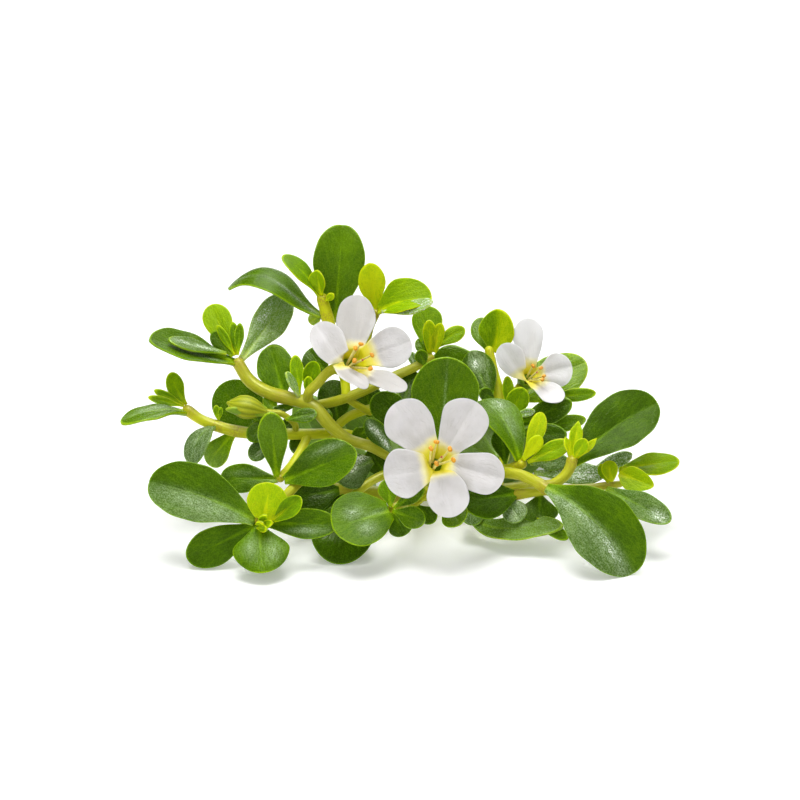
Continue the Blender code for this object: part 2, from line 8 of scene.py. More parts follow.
import math
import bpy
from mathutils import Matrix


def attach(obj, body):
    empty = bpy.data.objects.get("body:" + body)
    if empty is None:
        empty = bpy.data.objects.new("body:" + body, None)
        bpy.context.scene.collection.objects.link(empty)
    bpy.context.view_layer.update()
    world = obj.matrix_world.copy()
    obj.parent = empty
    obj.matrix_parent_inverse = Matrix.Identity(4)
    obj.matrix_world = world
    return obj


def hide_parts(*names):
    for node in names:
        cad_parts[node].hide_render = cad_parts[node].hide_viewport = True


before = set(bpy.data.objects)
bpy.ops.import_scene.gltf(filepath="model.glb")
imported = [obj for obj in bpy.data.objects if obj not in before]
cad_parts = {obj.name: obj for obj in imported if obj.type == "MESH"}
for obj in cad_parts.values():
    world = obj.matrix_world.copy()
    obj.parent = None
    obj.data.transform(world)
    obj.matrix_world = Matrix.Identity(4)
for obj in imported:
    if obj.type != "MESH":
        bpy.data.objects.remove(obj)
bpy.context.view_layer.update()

import zlib

import bpy
import numpy as np
from mathutils import Matrix, Vector

MILLIMETRE = 0.001

# The viewer's place, and where the middle of the view lies in the frame, in millimetres
VIEW_TILT = math.radians(25.0)
VIEW_DISTANCE = 400.0
MIDDLE_ACROSS = 0.12
MIDDLE_BACK = -2.75
MIDDLE_HEIGHT = 11.61

# Driving sizes, in millimetres
LEAF_THICKNESS = 0.5
SMALL_LEAF_THICKNESS = 0.36
PETAL_THICKNESS = 0.16
ROOT = 0.2

# How finely the meshes are cut. The first two lists say where across half a blade its points lie.
FINE_ACROSS = [1, 0.985, 0.95, 0.89, 0.8, 0.69, 0.57, 0.45, 0.33, 0.22, 0.13, 0.06, 0]
SMALL_ACROSS = [1, 0.96, 0.86, 0.7, 0.5, 0.3, 0.12, 0]
FINE_ROWS = 34
SMALL_ROWS = 22
STEM_STEPS = 9
STEM_SIDES = 22

# Each stem is a list of places along its middle, with the radius there
STEMS = {
    "stem_main": [
        (-16.2, 3.7, 0.5, 0.55),
        (-15.0, 1.9, 0.7, 0.65),
        (-13.0, 0.7, 1.1, 0.66),
        (-10.0, -0.1, 1.9, 0.68),
        (-8.6, -0.7, 2.3, 0.70),
        (-7.0, -2.5, 2.6, 0.66),
        (-5.2, -3.9, 2.8, 0.58),
        (-2.6, -4.8, 2.6, 0.56),
        (0.5, -6.6, 1.4, 0.55),
        (2.6, -7.9, -0.4, 0.55),
        (3.6, -8.7, -2.2, 0.55),
    ],
    "stem_left_lower": [
        (-21.3, -1.0, 1.5, 0.50),
        (-19.6, -2.1, 1.5, 0.52),
        (-16.5, -3.1, 1.5, 0.56),
        (-13.0, -3.4, 1.3, 0.58),
        (-9.0, -3.4, 0.9, 0.56),
        (-5.5, -3.4, 0.2, 0.52),
        (-2.0, -4.6, -1.2, 0.50),
        (0.2, -6.6, -2.4, 0.50),
        (1.2, -8.2, -3.3, 0.50),
    ],
    "stem_upper_centre": [
        (-8.1, -0.5, 0.9, 0.48),
        (-6.0, 0.0, 0.2, 0.50),
        (-3.7, 0.9, -0.5, 0.50),
        (-1.2, 2.1, -1.5, 0.48),
        (1.5, 3.3, -2.6, 0.46),
        (3.0, 4.2, -3.5, 0.45),
    ],
    "stem_top": [
        (-7.8, 10.2, 0.2, 0.50),
        (-7.2, 8.0, 0.0, 0.60),
        (-6.5, 5.4, -0.2, 0.54),
        (-5.9, 3.2, -0.5, 0.50),
        (-5.5, 1.9, -0.8, 0.48),
    ],
    "stem_front_left": [
        (-7.0, -4.3, 2.3, 0.46),
        (-8.8, -6.8, 4.0, 0.50),
        (-10.5, -8.6, 5.8, 0.50),
        (-12.0, -10.2, 7.4, 0.50),
        (-14.1, -12.1, 8.9, 0.48),
    ],
    "stem_front_centre": [
        (2.0, -8.8, -2.6, 0.46),
        (1.9, -8.9, 0.2, 0.46),
        (1.8, -9.4, 3.0, 0.48),
        (0.6, -10.2, 5.2, 0.46),
        (-1.0, -11.0, 7.2, 0.44),
    ],
    "stem_right": [
        (5.8, -8.6, -2.0, 0.55),
        (6.6, -7.6, 0.4, 0.58),
        (9.0, -7.2, 3.2, 0.58),
        (11.6, -7.4, 5.4, 0.56),
        (13.2, -8.0, 6.4, 0.58),
        (14.4, -8.7, 7.0, 0.60),
        (15.05, -9.2, 7.3, 0.46),
    ],
    "stem_far_right": [
        (7.3, -9.4, -2.6, 0.46),
        (7.4, -9.3, -0.4, 0.48),
        (8.2, -9.4, 2.0, 0.50),
        (10.4, -9.6, 4.0, 0.50),
        (13.4, -9.2, 5.2, 0.50),
        (16.4, -8.9, 4.8, 0.42),
        (19.4, -8.7, 4.2, 0.38),
        (22.0, -8.4, 3.4, 0.34),
    ],
    "stem_right_lime": [
        (7.9, -8.1, -3.2, 0.45),
        (7.7, -6.8, -0.6, 0.48),
        (9.2, -6.9, 1.9, 0.50),
        (10.8, -6.9, 3.4, 0.52),
        (12.2, -6.4, 4.7, 0.48),
    ],
    "stem_upper_right": [
        (8.9, 5.0, -5.2, 0.42),
        (9.4, 2.4, -5.2, 0.56),
        (10.1, -0.2, -5.0, 0.66),
        (10.7, -2.8, -4.6, 0.56),
        (10.5, -5.4, -4.4, 0.48),
        (9.9, -7.8, -4.2, 0.48),
    ],
    "stem_crown": [
        (-9.4, -8.8, -6.6, 0.66),
        (-5.0, -9.1, -5.7, 0.72),
        (0.0, -9.5, -4.7, 0.78),
        (4.5, -9.2, -3.4, 0.82),
        (9.0, -9.2, -4.6, 0.76),
        (13.4, -8.6, -7.1, 0.66),
    ],
}

# Side twigs, each shown with the stem that it is listed under
TWIGS = {
    "stem_upper_centre": [
        [
            (-2.4, 8.8, -0.6, 0.42),
            (-3.1, 7.0, -0.9, 0.42),
            (-3.4, 5.0, -1.1, 0.44),
            (-3.2, 3.2, -1.1, 0.44),
            (-2.6, 1.5, -0.9, 0.44),
        ],
        [
            (-5.4, 0.2, 0.0, 0.34),
            (-4.3, -0.5, -0.4, 0.36),
            (-3.0, -1.2, -0.9, 0.36),
        ],
    ],
    "stem_left_lower": [
        [
            (-12.0, -7.8, 5.0, 0.42),
            (-10.9, -6.6, 3.6, 0.44),
            (-9.9, -5.0, 2.3, 0.44),
            (-9.2, -3.5, 0.9, 0.44),
        ],
        [
            (-6.9, -3.3, 0.4, 0.44),
            (-5.0, -1.6, -0.9, 0.46),
            (-1.6, -0.6, -1.6, 0.46),
            (2.0, -0.2, -3.4, 0.45),
            (6.6, 0.4, -4.6, 0.42),
        ],
    ],
    "stem_right": [
        [
            (14.1, -8.55, 6.9, 0.44),
            (15.3, -8.4, 7.0, 0.50),
            (16.4, -7.65, 7.0, 0.53),
            (17.0, -6.75, 6.9, 0.54),
            (17.2, -6.05, 6.8, 0.52),
        ],
    ],
    "stem_front_centre": [
        [
            (-5.4, -10.4, 3.2, 0.42),
            (-3.6, -8.6, 3.0, 0.46),
            (-1.2, -7.4, 2.4, 0.46),
            (1.0, -7.9, 1.6, 0.46),
            (2.1, -8.7, 0.6, 0.46),
        ],
        [
            (0.9, -10.4, 6.2, 0.26),
            (1.6, -10.4, 6.9, 0.26),
            (2.7, -9.6, 7.6, 0.24),
        ],
    ],
}

# How young and lime-coloured a stem is, from 0 to 1, where it isn't 0.2
YOUTH = {
    "stem_top": 1.0, "stem_main": 0.0, "stem_left_lower": 0.7, "stem_upper_right": 0.7,
    "stem_right_lime": 0.9, "stem_crown": 0.0
}

# One more place before the first or after the last one of a stem or stalk, inside what carries it
SEATS_BEFORE = {
    "stem_upper_centre": [(-8.4, -0.6, 1.7, 0.45)],
    "stem_front_left": [(-6.4, -3.6, 2.6, 0.44)],
    "stem_front_centre": [(2.0, -9.1, -3.6, 0.46)],
    "stem_right": [(5.6, -9.0, -3.0, 0.55)],
    "stem_far_right": [(7.3, -9.3, -3.6, 0.46)],
    "stem_right_lime": [(8.0, -8.8, -4.0, 0.45)],
    "front_flower": [(3.0, -8.0, -0.5, 0.46)],
    "left_flower": [(-9.2, 0.1, 2.5, 0.5)],
    "right_flower": [(10.7, -1.0, -4.9, 0.42)],
}
SEATS_AFTER = {
    "stem_main": [(3.8, -9.0, -3.0, 0.55)],
    "stem_left_lower": [(1.3, -8.9, -4.0, 0.5)],
    "stem_top": [(-5.4, 0.5, -0.1, 0.46)],
    "stem_upper_right": [(9.9, -8.7, -4.8, 0.48)],
}

# Each leaf runs from its seat in the middle of a stem to its tip, both as places. width is its widest, in
# millimetres. turn, in degrees, rolls its upper face from the viewer toward the leaf's right-hand side.
# bow and sweep move its middle toward its face and to its right, as shares of its length, and late moves
# that bend toward the tip, or toward the seat below 0. cup raises the rim, belly is how far along the
# widest place lies, neck the width at the seat, and shoulder fills out the half next to the seat. tone runs
# from 0, an old dark leaf, to 1, a yellow young one. silver is how far the skin is raised and paler, partly
# real silvery skin and partly painted sheen, and gleam adds painted sheen to it on the left half, which split
# darkens with painted shade. glints are spots of painted highlight: how far along, how far right of the
# midrib, half the length, half the width and the strength.
LEAVES = {
    "leaf_top_tall": dict(
        base=(-6.5, 7.6, -1.4), tip=(-5.75, 17.6, 0.4), width=5.2, bow=0.05, cup=0.16, belly=0.64,
        shoulder=0.35, tone=0.38, notch=0.1
    ),
    "leaf_top_arched": dict(
        base=(-7.7, 8.3, 0.0), tip=(-17.1, 11.1, -2.0), width=5.2, turn=64, bow=0.212, late=0.85,
        cup=-0.05, belly=0.57, shoulder=0.3, tone=0.32,
        painted_glints=[(0.42, -0.45, 2.6, 0.4, 1.1), (0.15, -0.2, 1.0, 0.3, 1.0)]
    ),
    "leaf_lime_upright": dict(
        base=(-2.5, 8.8, -0.6), tip=(-3.0, 13.7, 1.0), width=2.75, belly=0.6, shoulder=0.4, tone=0.94
    ),
    "leaf_lime_right": dict(
        base=(-2.3, 8.7, -0.5), tip=(3.2, 10.2, 1.5), width=4.5, turn=-28, bow=0.14, cup=0.4, belly=0.52,
        shoulder=0.5, tone=0.66, right=0.6
    ),
    "leaf_spoon": dict(
        base=(-16.4, 3.7, 0.6), tip=(-25.1, 6.0, 3.6), width=4.2, turn=50, bow=-0.01, cup=0.3,
        shoulder=0.3, tone=0.3, painted_glints=[(0.35, -0.6, 1.8, 0.25, 0.8)]
    ),
    "leaf_left_oval": dict(
        base=(-16.0, 3.9, 0.3), tip=(-11.2, 10.4, -3.6), width=3.6, turn=8, bow=0.06, belly=0.6,
        shoulder=0.2, tone=0.54, pale_skin_and_painted_light=0.62, painted_glints=[(0.6, -0.9, 1.6, 0.5, 0.6)]
    ),
    "leaf_far_left": dict(
        base=(-21.2, -1.3, 1.6), tip=(-27.9, -2.4, 4.2), width=2.8, turn=58, bow=0.1, belly=0.55,
        shoulder=0.3, tone=0.38, painted_glints=[(0.5, 0.4, 2.0, 0.3, 0.6)]
    ),
    "leaf_hanging_left": dict(
        base=(-18.4, -2.6, 1.5), tip=(-20.8, -6.5, 3.8), width=2.9, turn=42, bow=0.2, shoulder=0.3,
        tone=0.2, pale_skin_and_painted_light=0.4
    ),
    "leaf_hanging_right": dict(
        base=(-16.4, -3.0, 1.4), tip=(-19.1, -6.4, -0.4), width=2.6, turn=12, bow=0.1, neck=0.3,
        belly=0.66, shoulder=0.2, tone=0.5
    ),
    "leaf_left_round": dict(
        base=(-13.2, -3.0, 0.8), tip=(-18.2, 1.2, -6.0), width=5.2, bow=-0.05, belly=0.58, shoulder=0.6,
        tone=0.3
    ),
    "leaf_mid_left": dict(
        base=(-11.6, 0.3, 0.9), tip=(-13.0, 5.4, 0.1), width=3.8, belly=0.52, shoulder=0.6, tone=0.34
    ),
    "leaf_front_vertical": dict(
        base=(-12.3, -7.9, 5.2), tip=(-13.0, -1.2, 7.2), width=3.0, bow=-0.04, belly=0.62, shoulder=0.3,
        tone=0.42
    ),
    "leaf_left_middle": dict(
        base=(-12.0, -8.0, 5.1), tip=(-17.9, -7.8, 3.2), width=3.0, turn=6, bow=0.05, cup=0.2,
        shoulder=0.4, tone=0.3, painted_glints=[(0.6, 0.5, 1.2, 0.3, 0.3)]
    ),
    "leaf_centre_oval": dict(
        base=(-11.7, -8.1, 5.8), tip=(-4.3, -5.2, 8.6), width=4.7, turn=-10, cup=0.42, belly=0.58,
        shoulder=0.4, tone=0.3, painted_glints=[(0.7, -1.3, 1.6, 0.3, 0.8)]
    ),
    "leaf_rosette_big": dict(
        base=(-14.3, -12.2, 9.0), tip=(-25.1, -8.3, 6.6), width=6.0, turn=12, bow=0.05, sweep=0.035,
        cup=0.2, fold=0.16, belly=0.58, shoulder=0.45, tone=0.26, painted_sheen_left=0.2,
        painted_glints=[(0.5, -0.9, 4.2, 0.9, 0.4)]
    ),
    "leaf_rosette_lower": dict(
        base=(-14.2, -12.4, 8.9), tip=(-21.3, -15.9, 8.3), width=3.95, turn=-8, belly=0.62, shoulder=0.35,
        tone=0.22
    ),
    "leaf_rosette_round": dict(
        base=(-14.1, -12.5, 8.9), tip=(-13.8, -17.3, 11.6), width=5.7, bow=0.04, cup=-0.1, belly=0.5,
        shoulder=0.5, point=0.12, tone=0.36,
        painted_glints=[(0.6, -1.2, 1.2, 0.7, 0.55), (0.5, 1.0, 1.0, 0.6, 0.55)]
    ),
    "leaf_rosette_right": dict(
        base=(-14.0, -12.3, 8.9), tip=(-6.2, -12.4, 9.3), width=3.1, turn=-4, bow=-0.04, cup=0.3,
        belly=0.6, shoulder=0.4, tone=0.25, painted_glints=[(0.6, 0.7, 1.6, 0.25, 0.8)]
    ),
    "leaf_bottom_dark": dict(
        base=(-5.3, -10.2, 3.2), tip=(-6.5, -16.4, 7.3), width=6.2, bow=0.12, belly=0.58, shoulder=0.7,
        tone=0.18
    ),
    "leaf_front_round": dict(
        base=(-0.9, -11.1, 8.5), tip=(-6.7, -12.9, 10.6), width=6.2, turn=24, cup=0.16,
        belly=0.55, neck=0.35, shoulder=1.0, tone=0.32,
        painted_glints=[(0.6, 0.9, 1.0, 0.6, 0.9), (0.5, -1.2, 0.9, 0.7, 0.8), (0.25, 0.2, 1.2, 0.3, 0.5)]
    ),
    "leaf_centre_tall": dict(
        base=(4.0, -5.8, 4.2), tip=(4.8, 4.3, 6.0), width=6.8, bow=-0.04, belly=0.64, shoulder=0.4,
        tone=0.36, painted_glints=[(0.6, 0.0, 3.0, 0.12, 0.5)]
    ),
    "leaf_upper_right": dict(
        base=(9.2, 4.7, -5.9), tip=(9.6, 9.1, -4.8), width=3.7, turn=-12, sweep=0.08, cup=0.0, fold=0.4,
        belly=0.5, shoulder=0.8, tone=0.84, left_painted_shade=0.3
    ),
    "leaf_behind_flower": dict(
        base=(10.4, -0.1, -5.6), tip=(18.6, 3.8, -9.6), width=4.6, turn=-10, bow=-0.06, belly=0.62,
        shoulder=0.3, tone=0.56
    ),
    "leaf_right_curved": dict(
        base=(11.9, -6.3, 4.6), tip=(8.0, -0.2, 1.4), width=4.1, turn=34, bow=0.2, fold=0.15, belly=0.55,
        shoulder=0.4, tone=0.34, painted_glints=[(0.78, 0.7, 0.9, 0.5, 1.2), (0.45, 0.4, 1.5, 0.6, 0.5)]
    ),
    "leaf_right_big_upper": dict(
        base=(17.1, -6.5, 6.0), tip=(25.7, -0.3, 2.4), width=5.6, turn=-8, bow=0.05, sweep=-0.04,
        cup=0.12, fold=0.12, belly=0.6, shoulder=0.5, tone=0.22
    ),
    "leaf_far_right": dict(
        base=(21.8, -7.0, 3.2), tip=(27.9, -6.1, 0.2), width=2.6, turn=-28, belly=0.55, shoulder=0.4,
        tone=0.64
    ),
    "leaf_right_lower": dict(
        base=(20.6, -8.8, 4.0), tip=(27.1, -12.1, 7.2), width=2.9, turn=-20, bow=0.08, sweep=0.04,
        fold=0.2, belly=0.62, shoulder=0.3, tone=0.32, pale_skin_and_painted_light=0.2, painted_glints=[(0.85, 0.2, 0.9, 0.6, 1.3)]
    ),
    "leaf_right_big_lower": dict(
        base=(14.6, -8.85, 7.2), tip=(23.2, -17.4, 9.1), width=6.95, bow=0.12, sweep=-0.09,
        cup=0.02, fold=0.36, belly=0.58, neck=0.15, shoulder=0.4, groove=-0.2, tone=0.26, pale_skin_and_painted_light=0.3,
        painted_sheen_left=-0.3, painted_glints=[(0.3, 0.45, 3.4, 0.45, 0.6), (0.75, 0.6, 2.4, 0.7, 0.75)]
    ),
    "leaf_under_flower": dict(
        base=(11.7, -9.4, 4.8), tip=(6.1, -10.3, 8.0), width=4.4, turn=20, belly=0.56, shoulder=0.7,
        tone=0.1
    ),
    "leaf_long_bottom": dict(
        base=(6.6, -10.2, 1.4), tip=(16.3, -12.7, 6.6), width=2.9, turn=-30, late=-0.8, sweep=0.17,
        shoulder=0.5, tone=0.42, pale_skin_and_painted_light=0.2
    ),
    "leaf_back_left": dict(
        base=(-5.0, -9.1, -5.7), tip=(-10.0, 0.5, -12.4), width=5.0, turn=180, bow=0.1, tone=0.3
    ),
    "leaf_back_centre": dict(
        base=(0.0, -9.5, -4.7), tip=(0.5, 1.0, -12.9), width=5.2, turn=180, bow=0.1, tone=0.26
    ),
    "leaf_back_right": dict(
        base=(9.2, -9.0, -4.9), tip=(15.0, -1.5, -12.0), width=4.8, turn=180, bow=0.1, tone=0.34
    ),
}
YOUNG_LEAVES = {"leaf_lime_upright", "leaf_lime_right", "leaf_far_right"}
DULL_LEAVES = {
    "leaf_top_arched", "leaf_mid_left", "leaf_spoon", "leaf_rosette_big", "leaf_rosette_lower",
    "leaf_rosette_round", "leaf_rosette_right", "leaf_upper_right", "leaf_right_curved",
    "leaf_right_big_upper", "leaf_right_big_lower", "leaf_under_flower", "leaf_front_round",
    "leaf_right_lower",
}

# The crowded small leaves at the end of each shoot
SHOOT_TIPS = {
    "tip_top": [
        dict(base=(-7.9, 10.1, 0.2), tip=(-11.8, 14.4, 1.2), width=2.2, turn=40, bow=0.1, tone=0.5),
        dict(base=(-7.8, 10.3, 0.5), tip=(-8.3, 13.0, 1.6), width=1.9, turn=-30, cup=0.5, tone=0.72),
        dict(base=(-7.6, 9.8, 0.6), tip=(-6.6, 10.6, 1.2), width=0.8, tone=0.74),
    ],
    "tip_left_upper": [
        dict(base=(-16.4, 4.3, 0.4), tip=(-19.0, 9.5, -0.4), width=2.9, belly=0.72, tone=0.72),
        dict(base=(-16.6, 4.2, 0.8), tip=(-18.8, 6.8, 0.9), width=1.7, tone=0.26),
        dict(base=(-16.4, 4.3, 0.9), tip=(-18.3, 7.5, 1.1), width=0.9, tone=0.5),
        dict(base=(-16.3, 4.3, 0.5), tip=(-16.7, 7.8, 0.4), width=1.0, tone=0.46),
        dict(base=(-16.2, 4.3, 0.6), tip=(-16.0, 7.7, 0.7), width=1.0, tone=0.44),
    ],
    "tip_far_left": [
        dict(base=(-21.4, -0.6, 1.2), tip=(-24.6, 1.0, 1.4), width=0.9, tone=0.52),
        dict(base=(-21.4, -0.7, 1.3), tip=(-25.2, 0.3, 1.6), width=0.9, tone=0.58),
        dict(base=(-21.2, -0.6, 1.1), tip=(-22.8, 2.8, 0.8), width=1.8, sweep=-0.08, tone=0.6),
    ],
    "tip_rosette": [
        dict(
            base=(-13.6, -12.1, 9.6), tip=(-13.0, -8.25, 9.9), width=4.15, belly=0.5, neck=0.45, shoulder=1.0,
            tone=0.8, cup=0.1
        ),
        dict(base=(-12.8, -12.2, 9.5), tip=(-9.9, -9.7, 10.2), width=2.0, cup=0.7, shoulder=0.7, tone=0.52),
        dict(base=(-14.3, -12.5, 9.5), tip=(-13.4, -11.5, 10.7), width=0.9, turn=20, tone=0.62),
        dict(base=(-14.2, -12.9, 9.6), tip=(-12.7, -12.2, 10.7), width=0.9, turn=-20, cup=0.4, tone=0.7),
        dict(base=(-14.4, -12.8, 9.7), tip=(-13.3, -12.9, 10.9), width=0.8, tone=0.6),
        dict(base=(-14.5, -12.4, 9.7), tip=(-13.7, -12.3, 11.1), width=0.8, turn=50, tone=0.66),
    ],
    "tip_front_centre": [
        dict(base=(-0.9, -10.9, 8.2), tip=(-1.3, -7.9, 8.2), width=2.1, tone=0.44),
        dict(base=(-0.9, -11.0, 8.4), tip=(2.5, -12.2, 9.2), width=2.3, tone=0.3),
        dict(base=(-0.9, -11.1, 8.1), tip=(0.6, -13.5, 8.0), width=2.6, tone=0.22),
        dict(base=(-0.8, -10.9, 8.2), tip=(2.4, -8.7, 8.4), width=1.6, tone=0.3),
    ],
    "tip_upper_centre": [
        dict(base=(3.1, 4.6, -3.4), tip=(2.9, 8.0, -2.7), width=1.4, neck=0.5, shoulder=0.9, tone=0.8),
        dict(base=(3.3, 4.6, -3.4), tip=(4.1, 7.7, -2.7), width=1.3, neck=0.5, shoulder=0.9, tone=0.84),
        dict(base=(3.4, 5.0, -3.8), tip=(6.5, 7.1, -4.2), width=1.65, belly=0.64, sweep=-0.06, tone=0.62),
        dict(base=(2.9, 4.2, -3.9), tip=(2.6, 9.4, -4.6), width=3.1, belly=0.7, tone=0.56),
    ],
    "tip_right_lime": [
        dict(base=(12.1, -6.2, 5.0), tip=(14.1, -1.2, 4.6), width=1.8, sweep=0.05, belly=0.68, tone=0.9),
        dict(base=(12.3, -6.2, 5.2), tip=(14.1, -3.6, 5.8), width=1.5, belly=0.66, tone=0.98),
        dict(base=(12.6, -6.3, 5.1), tip=(17.0, -4.2, 5.4), width=1.9, tone=0.68),
    ],
    "tip_right": [
        dict(base=(17.2, -6.0, 6.8), tip=(17.85, -2.1, 6.4), width=1.4, fold=0.5, point=0.7, tone=0.84),
        dict(base=(17.3, -6.0, 7.0), tip=(18.6, -3.9, 7.4), width=1.5, cup=0.3, shoulder=0.4, tone=0.72),
        dict(
            base=(17.1, -6.0, 6.9), tip=(16.5, -3.7, 6.6), width=1.1, turn=40, fold=0.4, point=0.7,
            tone=0.9
        ),
        dict(base=(17.6, -6.0, 6.9), tip=(19.7, -3.8, 6.8), width=0.8, fold=0.4, point=0.7, tone=0.9),
    ],
    "tip_far_right": [
        dict(base=(21.2, -8.4, 4.1), tip=(20.8, -6.05, 4.1), width=1.7, fold=0.5, shoulder=0.8, tone=0.8),
        dict(base=(20.9, -8.5, 4.0), tip=(20.1, -6.4, 3.6), width=1.1, turn=-30, fold=0.4, tone=0.6),
        dict(
            base=(21.7, -7.3, 4.1), tip=(25.4, -8.6, 4.6), width=2.5, cup=0.3, belly=0.36, shoulder=1.0,
            point=0.3, tone=0.8
        ),
    ],
}
